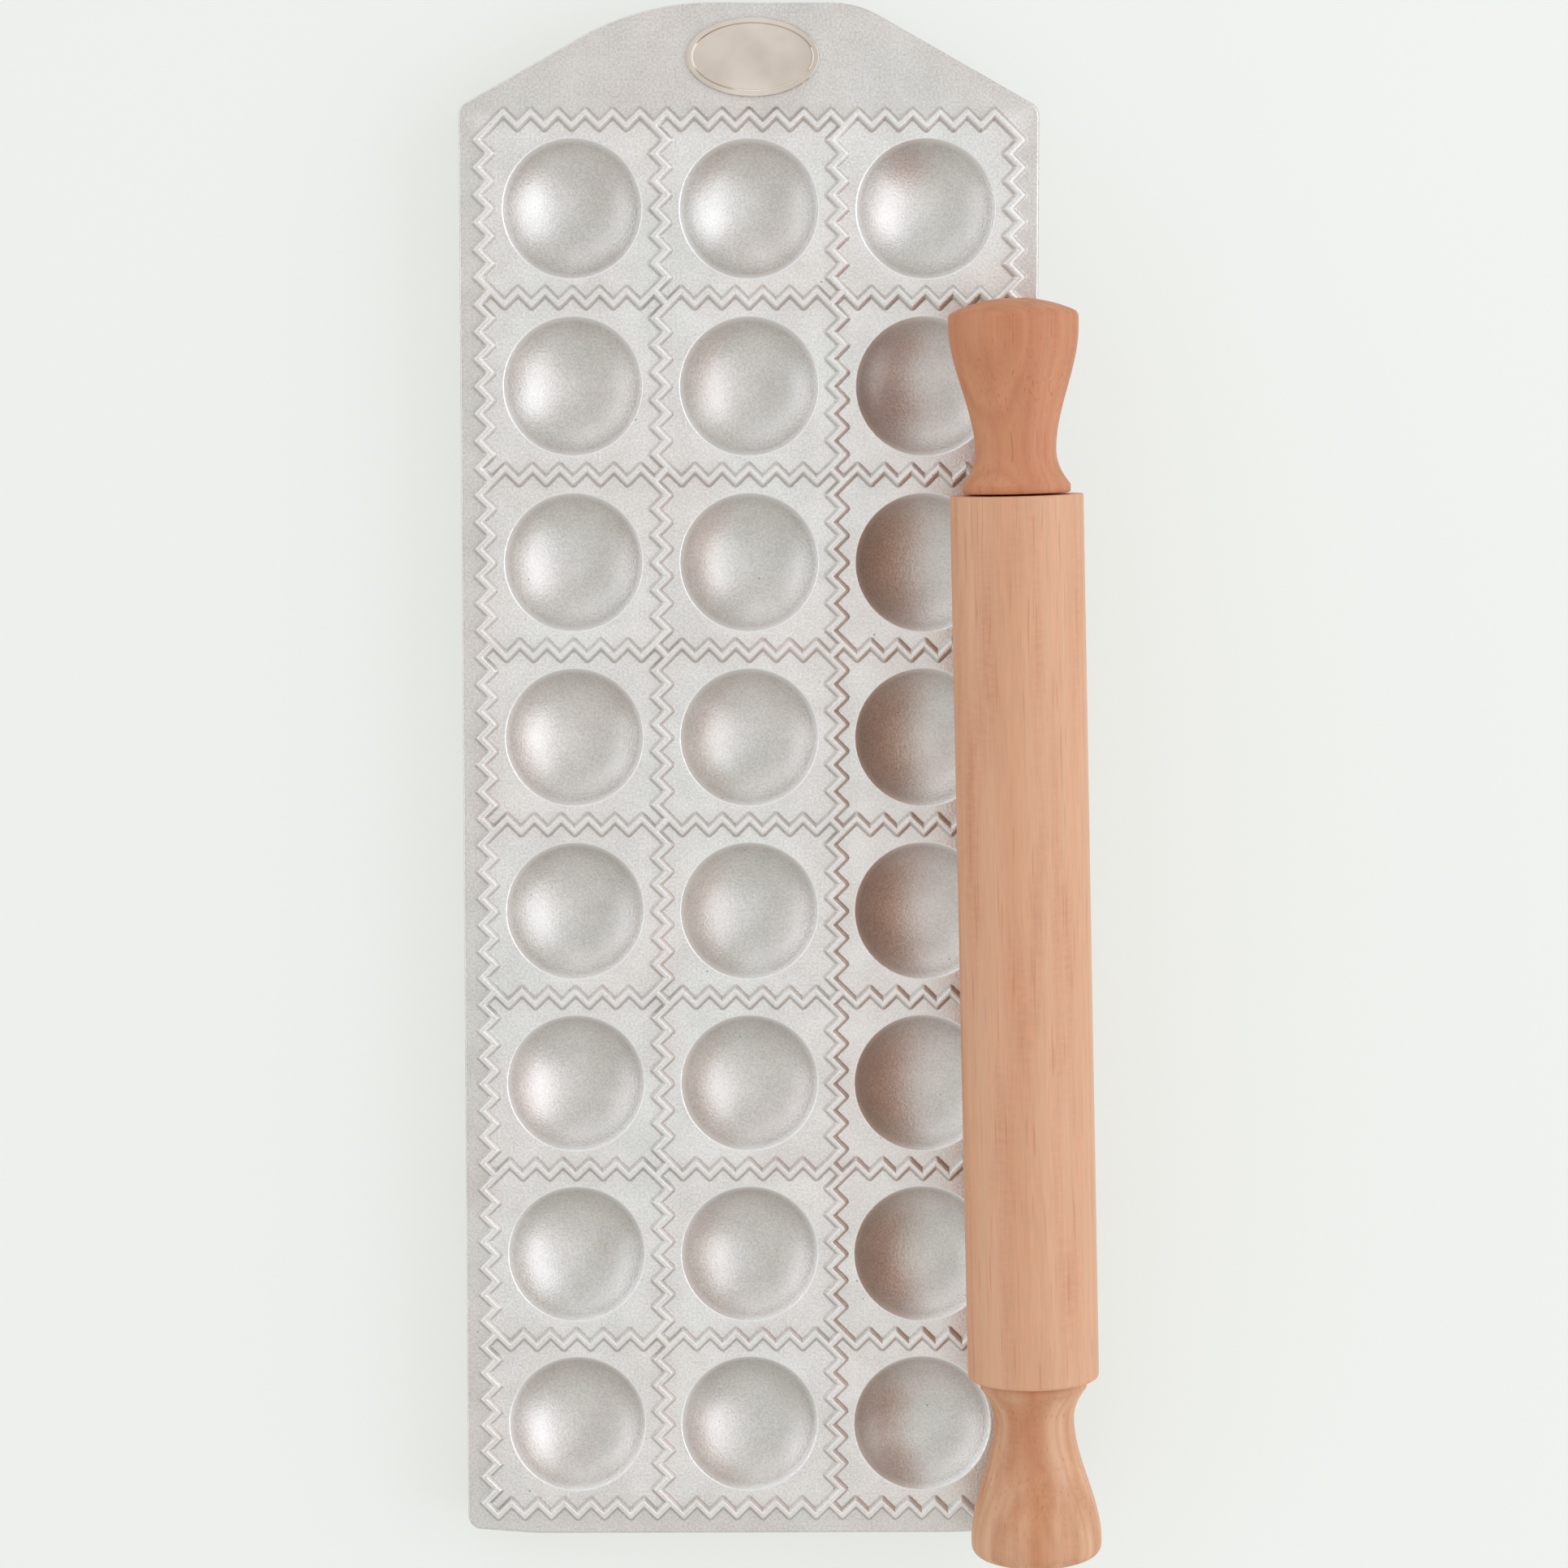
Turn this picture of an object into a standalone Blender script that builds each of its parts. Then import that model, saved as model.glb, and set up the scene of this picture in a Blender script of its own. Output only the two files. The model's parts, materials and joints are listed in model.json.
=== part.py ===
# Ravioli mould: a cast aluminium tray with 24 round wells and pinked cutting ridges, a bare
# badge plate on its head, and the small turned beech rolling pin that lies along its right side.
# Metres, +Z up. The tray stands flat on its skirt, ridges up, with its head towards +Y.
# The origin is under the middle of the whole set, on the surface it stands on.

import math

import bmesh
import bpy
from mathutils import Vector, geometry

# Fits
RUNNING_GAP = 0.0003          # between a turning piece and what carries it
SEAT_GAP = 0.0003             # between a fixed piece and its seat

# Tray: the grid of wells and the zigzag ridges round each of them
COLUMNS = 3
ROWS = 8
CELL = 0.036                  # from one well's middle to the next
HALF_TEETH_PER_CELL = 13      # six and a half teeth along each side of a cell
RIDGE_HEIGHT = 0.0015
CREST_WIDTH = 0.0009
RIDGE_FLANK = 0.0006          # plan width of each sloping side of a ridge
WELL_RADIUS = 0.014           # at the tray's face
WELL_DEPTH = 0.0085
WELL_MOUTH_ROUND = 0.0005
WELL_STEPS = 18
WELL_RINGS = 3
CUP_WALL = 0.0021
CUP_STEPS = 12
CUP_RINGS = 2

# Tray: the casting round the grid
TRAY_HEIGHT = 0.014           # from the table to the face, without the ridges
FACE_THICKNESS = 0.0026
SKIRT_THICKNESS = 0.0026
SIDE_MARGIN = 0.005           # from the grid to the tray's long sides
FOOT_MARGIN = 0.0054          # from the grid to the foot edge
FOOT_BOW_RISE = 0.0011        # the foot edge's ends curve up by this much
FOOT_BOW_LENGTH = 0.0146
SHOULDER_START = 0.0025       # from the grid to where the sides turn in
HEAD_LENGTH = 0.0235          # from the grid to the flat top of the head
HEAD_FLAT_WIDTH = 0.0436
FOOT_CORNER_RADIUS = 0.003
SIDE_CORNER_RADIUS = 0.003
LEFT_SHOULDER_RADIUS = 0.055
RIGHT_SHOULDER_RADIUS = 0.020
FOOT_BOW_RADIUS = 0.060
SHARPEST_ROUND = 0.0002
FACE_EDGE_ROUND = 0.0008

# Badge plate
BADGE_LENGTH = 0.0269
BADGE_WIDTH = 0.0159
BADGE_THICKNESS = 0.0009
BADGE_RIM_WIDTH = 0.0009
BADGE_RIM_HEIGHT = 0.0003
BADGE_X = 0.0007              # from the tray's centre line
BADGE_ABOVE_GRID = 0.0125     # from the grid to the middle of the plate
BADGE_STEPS = 32
POST_RADIUS = 0.001
POST_SPACING = 0.014
POST_PAST_NUT = 0.0008
PUSH_NUT_RADIUS = 0.0029
PUSH_NUT_THICKNESS = 0.0005
PUSH_NUT_DISH = 0.0004

# Rolling pin
BARREL_RADIUS = 0.01345
BARREL_LENGTH = 0.181
BARREL_EDGE_ROUND = 0.0008
BARREL_BORE_RADIUS = 0.0026
HANDLE_GAP = 0.0004           # between the barrel's end and a handle's base
HANDLE_LENGTH = 0.0391
HANDLE_BASE_RADIUS = 0.0109
HANDLE_BAND = 0.0016          # straight band at the base
HANDLE_NECK_RADIUS = 0.00815
HANDLE_NECK_AT = 0.0084       # from the base
HANDLE_CAP_AT = 0.0335        # from the base to the widest place
UPPER_CAP_RADIUS = 0.0131
LOWER_CAP_RADIUS = 0.0134
HANDLE_DOME_RISE = 0.0031
HANDLE_CAP_ROUND = 0.0018
HANDLE_EDGE_BREAK = 0.0003    # at the base's edge
AXLE_RADIUS = 0.0015
AXLE_HEAD_RADIUS = 0.0021
AXLE_HEAD_THICKNESS = 0.0012
AXLE_HEAD_EDGE_BREAK = 0.0004
AXLE_HEAD_SINK = 0.004        # depth of the hole that hides each riveted end of the axle
BUSH_WALL = 0.0016
BUSH_LENGTH = 0.014
WASHER_RADIUS = 0.005
WASHER_THICKNESS = 0.0012

# The pin's place on the tray
PIN_X = 0.0560                # middle of the barrel, from the middle of the grid
PIN_Y = -0.0221
PIN_TURN = math.radians(1.4)
PIN_REST_GAP = 0.0003         # above the ridges that carry it

# Fineness of the turned pieces, in steps round a full turn
BARREL_STEPS = 32
HANDLE_STEPS = 24
SMALL_STEPS = 16

# Fineness of the roundings and curves, in steps along each
FOOT_CORNER_STEPS = 4
FOOT_BOW_STEPS = 2
SIDE_CORNER_STEPS = 3
LEFT_SHOULDER_STEPS = 6
RIGHT_SHOULDER_STEPS = 4
FACE_EDGE_STEPS = 2
TURNED_EDGE_STEPS = 3
HANDLE_DOME_STEPS = 3
HANDLE_SWELL_STEPS = 7
HANDLE_FLARE_STEPS = 5
MERGE_DISTANCE = 0.00001
PLAN_MERGE_DISTANCE = 0.0000001
PLAN_DIGITS = 7               # decimals at which two points of the plan count as one

# Values that follow from the ones above
HALF_TOOTH = CELL / HALF_TEETH_PER_CELL
GRID_HALF_WIDTH = COLUMNS * CELL / 2
GRID_HALF_LENGTH = ROWS * CELL / 2
TRAY_HALF_WIDTH = GRID_HALF_WIDTH + SIDE_MARGIN
FOOT_Y = -GRID_HALF_LENGTH - FOOT_MARGIN
HEAD_Y = GRID_HALF_LENGTH + HEAD_LENGTH
FACE_UNDERSIDE = TRAY_HEIGHT - FACE_THICKNESS
WELL_SPHERE_RADIUS = (WELL_RADIUS ** 2 + WELL_DEPTH ** 2) / (2 * WELL_DEPTH)
WELL_SPHERE_HEIGHT = TRAY_HEIGHT + WELL_SPHERE_RADIUS - WELL_DEPTH
BARREL_HALF = BARREL_LENGTH / 2
AXLE_HOLE_RADIUS = AXLE_RADIUS + RUNNING_GAP
PIN_HEIGHT = TRAY_HEIGHT + RIDGE_HEIGHT + PIN_REST_GAP + BARREL_RADIUS


def clear_scene():
    for obj in list(bpy.data.objects):
        bpy.data.objects.remove(obj, do_unlink=True)


def new_collection(name):
    collection = bpy.data.collections.new(name)
    bpy.context.scene.collection.children.link(collection)
    return collection


def make_material(name, colour, roughness, metallic=0.0):
    material = bpy.data.materials.new(name)
    material.use_nodes = True
    shader = material.node_tree.nodes["Principled BSDF"]
    shader.inputs["Base Color"].default_value = (*colour, 1.0)
    shader.inputs["Roughness"].default_value = roughness
    shader.inputs["Metallic"].default_value = metallic
    material.diffuse_color = (*colour, 1.0)
    return material


def add_piece(name, mesh, collection, parent, material):
    piece = bpy.data.objects.new(name, mesh)
    piece.parent = parent
    mesh.materials.append(material)
    collection.objects.link(piece)
    return piece


def add_cutter(name, mesh, collection, parent):
    cutter = bpy.data.objects.new(name, mesh)
    cutter.parent = parent
    cutter.hide_render = True
    cutter.display_type = "WIRE"
    collection.objects.link(cutter)
    return cutter


def add_empty(name, location, rotation, collection):
    empty = bpy.data.objects.new(name, None)
    empty.location = location
    empty.rotation_euler = rotation
    collection.objects.link(empty)
    return empty


def mesh_from(bm, name):
    mesh = bpy.data.meshes.new(name)
    bm.to_mesh(mesh)
    bm.free()
    return mesh


def add_boolean(piece, cutter, operation):
    modifier = piece.modifiers.new(cutter.name, "BOOLEAN")
    modifier.operation = operation
    modifier.solver = "EXACT"
    modifier.object = cutter


def turned_mesh(name, profile, is_ring):
    # The profile is a list of (radius, height) points that runs down the outer side.
    # A ring's profile closes on itself; any other starts and ends on the axis.
    bm = bmesh.new()
    verts = [bm.verts.new((radius, 0.0, height)) for radius, height in profile]
    for start, end in zip(verts, verts[1:]):
        bm.edges.new((start, end))
    if is_ring:
        bm.edges.new((verts[-1], verts[0]))
    return mesh_from(bm, name)


def add_turn(piece, steps):
    screw = piece.modifiers.new("turn", "SCREW")
    screw.axis = "Z"
    screw.angle = math.tau
    screw.steps = steps
    screw.render_steps = steps
    screw.use_merge_vertices = True
    screw.merge_threshold = MERGE_DISTANCE
    screw.use_smooth_shade = True


def add_rows(piece, counts, spacing):
    for axis, count in enumerate(counts):
        array = piece.modifiers.new(f"rows along {'XY'[axis]}", "ARRAY")
        array.count = count
        array.use_relative_offset = False
        array.use_constant_offset = True
        offset = Vector()
        offset[axis] = spacing
        array.constant_offset_displace = offset


def arc(centre, radius, start, end, steps):
    # Points of an arc, both ends included; angles are from +X, counter-clockwise.
    angles = [start + (end - start) * step / steps for step in range(steps + 1)]
    return [(centre[0] + radius * math.cos(a), centre[1] + radius * math.sin(a)) for a in angles]


def rounded_polygon(corners, inset=0.0):
    # corners holds (point, radius, steps), counter-clockwise. The inset moves every side inwards
    # by that much, and the roundings get tighter with it.
    outline = []
    count = len(corners)
    for index, (point, radius, steps) in enumerate(corners):
        corner = Vector(point)
        before = (corner - Vector(corners[index - 1][0])).normalized()
        after = (Vector(corners[(index + 1) % count][0]) - corner).normalized()
        normal_before = Vector((before.y, -before.x))
        normal_after = Vector((after.y, -after.x))
        bisector = (normal_before + normal_after) / (1.0 + normal_before.dot(normal_after))
        reach = max(radius - inset, SHARPEST_ROUND)
        centre = corner - bisector * (inset + reach)
        start = math.atan2(normal_before.y, normal_before.x)
        turn = normal_before.angle(normal_after)
        outline += arc(centre, reach, start, start + turn, steps)
    return outline


def tray_corners():
    side_y = GRID_HALF_LENGTH + SHOULDER_START
    corner_y = FOOT_Y + FOOT_BOW_RISE
    bow_x = TRAY_HALF_WIDTH - FOOT_BOW_LENGTH
    flat_x = HEAD_FLAT_WIDTH / 2
    return [
        ((-TRAY_HALF_WIDTH, corner_y), FOOT_CORNER_RADIUS, FOOT_CORNER_STEPS),
        ((-bow_x, FOOT_Y), FOOT_BOW_RADIUS, FOOT_BOW_STEPS),
        ((bow_x, FOOT_Y), FOOT_BOW_RADIUS, FOOT_BOW_STEPS),
        ((TRAY_HALF_WIDTH, corner_y), FOOT_CORNER_RADIUS, FOOT_CORNER_STEPS),
        ((TRAY_HALF_WIDTH, side_y), SIDE_CORNER_RADIUS, SIDE_CORNER_STEPS),
        ((flat_x, HEAD_Y), RIGHT_SHOULDER_RADIUS, RIGHT_SHOULDER_STEPS),
        ((-flat_x, HEAD_Y), LEFT_SHOULDER_RADIUS, LEFT_SHOULDER_STEPS),
        ((-TRAY_HALF_WIDTH, side_y), SIDE_CORNER_RADIUS, SIDE_CORNER_STEPS),
    ]


def ridge_flanks():
    # The zigzag tips lie on one lattice of half teeth, at nodes (i, j) with i + j odd, so every
    # flank is a diagonal of it and crossing ridges share a flank. A flank with a free end, at the
    # two head corners, is left out.
    last_column = HALF_TEETH_PER_CELL * COLUMNS
    last_row = HALF_TEETH_PER_CELL * ROWS
    lines = []
    for base in range(0, last_column + 1, HALF_TEETH_PER_CELL):
        lines.append([(base + (base + j + 1) % 2, j) for j in range(last_row + 2)])
    for base in range(0, last_row + 1, HALF_TEETH_PER_CELL):
        lines.append([(i, base + (base + i + 1) % 2) for i in range(last_column + 2)])
    flanks = {tuple(sorted(pair)) for line in lines for pair in zip(line, line[1:])}
    uses = {}
    for pair in flanks:
        for node in pair:
            uses[node] = uses.get(node, 0) + 1
    return sorted(pair for pair in flanks if min(uses[pair[0]], uses[pair[1]]) > 1)


def node_point(node):
    i, j = node
    return Vector(((i - 0.5) * HALF_TOOTH - GRID_HALF_WIDTH, (j - 0.5) * HALF_TOOTH - GRID_HALF_LENGTH))


def skin_faces():
    # Splits the tray's outline into one face for each cell and two outside the ridges. The two
    # outer faces meet at seams that run from the ridges' middle out across the foot and the head,
    # as far past the outline's edge as they start inside it, so that they always cross it.
    flanks = ridge_flanks()
    nodes = sorted({node for pair in flanks for node in pair})
    outline = rounded_polygon(tray_corners())
    points = [node_point(node) for node in nodes] + [Vector(point) for point in outline]
    number = {node: index for index, node in enumerate(nodes)}
    edges = [(number[start], number[end]) for start, end in flanks]
    first = len(nodes)
    edges += [(first + k, first + (k + 1) % len(outline)) for k in range(len(outline))]
    for row, edge_y in ((min(j for i, j in nodes), FOOT_Y), (max(j for i, j in nodes), HEAD_Y)):
        middle = min((node for node in nodes if node[1] == row), key=lambda node: abs(node_point(node).x))
        inside = node_point(middle)
        points.append(Vector((inside.x, 2 * edge_y - inside.y)))
        edges.append((number[middle], len(points) - 1))
    split = geometry.delaunay_2d_cdt(points, edges, [], 3, PLAN_MERGE_DISTANCE)
    return split[0], split[2]


def ridged_block():
    # One closed block as high as the tray. Its top starts flat, level with the ridges' crests.
    # Each face is inset by half a crest and again by a ridge's flank, then drops to the tray's face.
    points, faces = skin_faces()
    bm = bmesh.new()
    verts = [bm.verts.new((point.x, point.y, TRAY_HEIGHT + RIDGE_HEIGHT)) for point in points]
    floors = [bm.faces.new([verts[index] for index in face]) for face in faces]
    bm.normal_update()
    cells = [face for face in floors if not any(vert.is_boundary for vert in face.verts)]
    surround = [face for face in floors if any(vert.is_boundary for vert in face.verts)]
    tips = {vert.co.to_tuple(PLAN_DIGITS) for face in cells for vert in face.verts}
    for width in (CREST_WIDTH / 2, RIDGE_FLANK):
        bmesh.ops.inset_individual(bm, faces=cells, thickness=width, use_even_offset=True)
        bmesh.ops.inset_region(bm, faces=surround, thickness=width, use_even_offset=True, use_boundary=False)
    floor_verts = list({vert for face in cells + surround for vert in face.verts})
    bmesh.ops.translate(bm, verts=floor_verts, vec=(0.0, 0.0, -RIDGE_HEIGHT))
    crest_lines = []
    for edge in bm.edges:
        if all(vert.co.to_tuple(PLAN_DIGITS) in tips for vert in edge.verts):
            crest_lines.append(edge)
    bmesh.ops.dissolve_edges(bm, edges=crest_lines, use_verts=True)

    rim = [edge for edge in bm.edges if edge.is_boundary]
    walls = bmesh.ops.extrude_edge_only(bm, edges=rim)["geom"]
    for item in walls:
        if isinstance(item, bmesh.types.BMVert):
            item.co.z = 0.0
    bmesh.ops.holes_fill(bm, edges=[edge for edge in bm.edges if edge.is_boundary])
    bmesh.ops.recalc_face_normals(bm, faces=bm.faces)
    bmesh.ops.bevel(
        bm, geom=rim, offset=FACE_EDGE_ROUND, segments=FACE_EDGE_STEPS, profile=0.5, affect="EDGES"
    )
    return mesh_from(bm, "mould_tray")


def prism_mesh(name, outline, low, high):
    bm = bmesh.new()
    base = bm.faces.new([bm.verts.new((x, y, low)) for x, y in outline])
    raised = bmesh.ops.extrude_face_region(bm, geom=[base])["geom"]
    for item in raised:
        if isinstance(item, bmesh.types.BMVert):
            item.co.z = high
    bmesh.ops.recalc_face_normals(bm, faces=bm.faces)
    return mesh_from(bm, name)


def bowl_arc(sphere_radius, centre_height, start_radius, rings):
    # Points of a sphere's lower part, from the circle of start_radius down to the axis.
    start = math.asin(start_radius / sphere_radius)
    angles = [start * (1.0 - ring / rings) for ring in range(rings + 1)]
    return [(sphere_radius * math.sin(a), centre_height - sphere_radius * math.cos(a)) for a in angles]


def well_profile():
    # The hollow of one well, open above the ridges, with its mouth's edge broken.
    above = TRAY_HEIGHT + 2 * RIDGE_HEIGHT
    mouth = WELL_RADIUS + WELL_MOUTH_ROUND
    wall_drop = WELL_SPHERE_HEIGHT - TRAY_HEIGHT + WELL_MOUTH_ROUND
    wall_start = math.sqrt(WELL_SPHERE_RADIUS ** 2 - wall_drop ** 2)
    bowl = bowl_arc(WELL_SPHERE_RADIUS, WELL_SPHERE_HEIGHT, wall_start, WELL_RINGS)
    return [(0.0, above), (mouth, above), (mouth, TRAY_HEIGHT)] + bowl


def cup_profile():
    # The outside of one well below the tray, a bowl that starts inside the face's thickness.
    sphere_radius = WELL_SPHERE_RADIUS + CUP_WALL
    top = FACE_UNDERSIDE + FACE_THICKNESS / 2
    top_radius = math.sqrt(sphere_radius ** 2 - (WELL_SPHERE_HEIGHT - top) ** 2)
    return [(0.0, top)] + bowl_arc(sphere_radius, WELL_SPHERE_HEIGHT, top_radius, CUP_RINGS)


def add_grid_cutter(name, profile, steps, cutters, tray_frame):
    # One turned shape at the first well, repeated over the grid.
    cutter = add_cutter(name, turned_mesh(name, profile, False), cutters, tray_frame)
    cutter.location = (CELL / 2 - GRID_HALF_WIDTH, CELL / 2 - GRID_HALF_LENGTH, 0.0)
    add_turn(cutter, steps)
    add_rows(cutter, (COLUMNS, ROWS), CELL)
    return cutter


def badge_centre():
    return Vector((BADGE_X, GRID_HALF_LENGTH + BADGE_ABOVE_GRID, 0.0))


def add_post_cutter(name, radius, low, high, cutters, tray_frame):
    # A pair of upright round bars on the badge's posts.
    profile = [(0.0, high), (radius, high), (radius, low), (0.0, low)]
    cutter = add_cutter(name, turned_mesh(name, profile, False), cutters, tray_frame)
    cutter.location = badge_centre() - Vector((POST_SPACING / 2, 0.0, 0.0))
    add_turn(cutter, SMALL_STEPS)
    add_rows(cutter, (2,), POST_SPACING)
    return cutter


def build_tray(parts, cutters, tray_frame, material):
    tray = add_piece("mould_tray", ridged_block(), parts, tray_frame, material)
    inner_outline = rounded_polygon(tray_corners(), inset=SKIRT_THICKNESS)
    hollow = prism_mesh("tray hollow", inner_outline, -SKIRT_THICKNESS, FACE_UNDERSIDE)
    add_boolean(tray, add_cutter("tray hollow", hollow, cutters, tray_frame), "DIFFERENCE")
    cups = add_grid_cutter("cups", cup_profile(), CUP_STEPS, cutters, tray_frame)
    add_boolean(tray, cups, "UNION")
    wells = add_grid_cutter("wells", well_profile(), WELL_STEPS, cutters, tray_frame)
    add_boolean(tray, wells, "DIFFERENCE")
    hole_radius = POST_RADIUS + SEAT_GAP
    holes = add_post_cutter("post holes", hole_radius, 0.0, 2 * TRAY_HEIGHT, cutters, tray_frame)
    add_boolean(tray, holes, "DIFFERENCE")


def build_badge(parts, cutters, tray_frame, badge_material, nut_material):
    # A bare oval plate with a raised rim. Its two posts go through the head into push nuts.
    bm = bmesh.new()
    bmesh.ops.create_cone(bm, cap_ends=True, segments=BADGE_STEPS, radius1=0.5, radius2=0.5, depth=1.0)
    bmesh.ops.scale(bm, vec=(BADGE_LENGTH, BADGE_WIDTH, BADGE_THICKNESS), verts=bm.verts)
    face = max(bm.faces, key=lambda item: item.calc_center_median().z)
    bmesh.ops.inset_individual(bm, faces=[face], thickness=BADGE_RIM_WIDTH, use_even_offset=True)
    bmesh.ops.translate(bm, verts=face.verts, vec=(0.0, 0.0, -BADGE_RIM_HEIGHT))
    badge = add_piece("badge_plate", mesh_from(bm, "badge_plate"), parts, tray_frame, badge_material)
    plate_middle = TRAY_HEIGHT + SEAT_GAP + BADGE_THICKNESS / 2
    badge.location = badge_centre() + Vector((0.0, 0.0, plate_middle))

    nut_top = FACE_UNDERSIDE - SEAT_GAP
    nut_foot = nut_top - PUSH_NUT_DISH - PUSH_NUT_THICKNESS
    post_foot = nut_foot - POST_PAST_NUT
    posts = add_post_cutter("badge posts", POST_RADIUS, post_foot, plate_middle, cutters, tray_frame)
    add_boolean(badge, posts, "UNION")

    hole_radius = POST_RADIUS + SEAT_GAP
    profile = [
        (PUSH_NUT_RADIUS, nut_top),
        (PUSH_NUT_RADIUS, nut_top - PUSH_NUT_THICKNESS),
        (hole_radius, nut_foot),
        (hole_radius, nut_foot + PUSH_NUT_THICKNESS),
    ]
    for side, offset in (("left", -POST_SPACING / 2), ("right", POST_SPACING / 2)):
        name = f"badge_push_nut_{side}"
        nut = add_piece(name, turned_mesh(name, profile, True), parts, tray_frame, nut_material)
        nut.location = badge_centre() + Vector((offset, 0.0, 0.0))
        add_turn(nut, SMALL_STEPS)


def bend(start, corner, end, steps):
    # Points of a quadratic curve that leaves start towards corner and arrives at end from it.
    points = []
    for step in range(steps + 1):
        t = step / steps
        weights = ((1 - t) ** 2, 2 * t * (1 - t), t ** 2)
        points.append(tuple(sum(w * p[k] for w, p in zip(weights, (start, corner, end))) for k in (0, 1)))
    return points


def handle_profile(cap_radius):
    # A ring profile with its base at height 0: domed end, rounded cap, long swell, neck, flared
    # base, then up the axle's hole and out of the wider hole that hides the axle's head.
    sink_radius = AXLE_HEAD_RADIUS + RUNNING_GAP
    dome_radius = (cap_radius ** 2 + HANDLE_DOME_RISE ** 2) / (2 * HANDLE_DOME_RISE)

    def dome_point(radius):
        drop = dome_radius - math.sqrt(dome_radius ** 2 - radius ** 2)
        return (radius, HANDLE_LENGTH - drop)

    dome_edge = HANDLE_LENGTH - HANDLE_DOME_RISE
    round_start = cap_radius - HANDLE_CAP_ROUND
    dome_step = (round_start - sink_radius) / HANDLE_DOME_STEPS
    profile = [dome_point(sink_radius + dome_step * step) for step in range(HANDLE_DOME_STEPS)]
    cap_corner = (cap_radius, dome_edge)
    cap_side = (cap_radius, dome_edge - HANDLE_CAP_ROUND)
    profile += bend(dome_point(round_start), cap_corner, cap_side, TURNED_EDGE_STEPS)
    for step in range(HANDLE_SWELL_STEPS):
        t = step / HANDLE_SWELL_STEPS
        swell = 3 * t ** 2 - 2 * t ** 3
        height = HANDLE_CAP_AT + (HANDLE_NECK_AT - HANDLE_CAP_AT) * t
        profile.append((cap_radius + (HANDLE_NECK_RADIUS - cap_radius) * swell, height))
    neck = (HANDLE_NECK_RADIUS, HANDLE_NECK_AT)
    flare_corner = (HANDLE_NECK_RADIUS, (HANDLE_NECK_AT + HANDLE_BAND) / 2)
    profile += bend(neck, flare_corner, (HANDLE_BASE_RADIUS, HANDLE_BAND), HANDLE_FLARE_STEPS)
    hole_top = HANDLE_LENGTH - AXLE_HEAD_SINK
    profile += [
        (HANDLE_BASE_RADIUS, HANDLE_EDGE_BREAK),
        (HANDLE_BASE_RADIUS - HANDLE_EDGE_BREAK, 0.0),
        (AXLE_HOLE_RADIUS, 0.0),
        (AXLE_HOLE_RADIUS, hole_top),
        (sink_radius, hole_top),
    ]
    return profile


def barrel_profile():
    # A ring profile, the same at both ends: rounded edge, recess for the washer, seat for the bush.
    recess_radius = WASHER_RADIUS + RUNNING_GAP
    seat_radius = AXLE_HOLE_RADIUS + BUSH_WALL + SEAT_GAP
    seat_end = BARREL_HALF - washer_recess() - BUSH_LENGTH - SEAT_GAP
    rounding = arc(
        (BARREL_RADIUS - BARREL_EDGE_ROUND, BARREL_HALF - BARREL_EDGE_ROUND),
        BARREL_EDGE_ROUND, math.pi / 2, 0.0, TURNED_EDGE_STEPS,
    )
    outside = [(recess_radius, BARREL_HALF)] + rounding
    inside = [
        (BARREL_BORE_RADIUS, seat_end),
        (seat_radius, seat_end),
        (seat_radius, BARREL_HALF - washer_recess()),
        (recess_radius, BARREL_HALF - washer_recess()),
    ]
    lower_outside = [(radius, -height) for radius, height in reversed(outside)]
    lower_inside = [(radius, -height) for radius, height in reversed(inside)]
    return outside + lower_outside + lower_inside + inside


def washer_recess():
    # Depth of the recess in the barrel's end: the washer stands a little proud of the end, and
    # runs clear of the handle's base and of the recess's floor.
    return WASHER_THICKNESS - (HANDLE_GAP - RUNNING_GAP) + RUNNING_GAP


def tube_profile(outer, inner, low, high):
    return [(outer, high), (outer, low), (inner, low), (inner, high)]


def axle_profile():
    # A plain rod with a riveted head at each end.
    inner = BARREL_HALF + HANDLE_GAP + HANDLE_LENGTH - AXLE_HEAD_SINK + RUNNING_GAP
    outer = inner + AXLE_HEAD_THICKNESS
    half = [
        (0.0, outer),
        (AXLE_HEAD_RADIUS - AXLE_HEAD_EDGE_BREAK, outer),
        (AXLE_HEAD_RADIUS, outer - AXLE_HEAD_EDGE_BREAK),
        (AXLE_HEAD_RADIUS, inner),
        (AXLE_RADIUS, inner),
    ]
    return half + [(radius, -height) for radius, height in reversed(half)]


def add_turned_piece(name, profile, is_ring, steps, parts, parent, material):
    piece = add_piece(name, turned_mesh(name, profile, is_ring), parts, parent, material)
    add_turn(piece, steps)
    return piece


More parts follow.
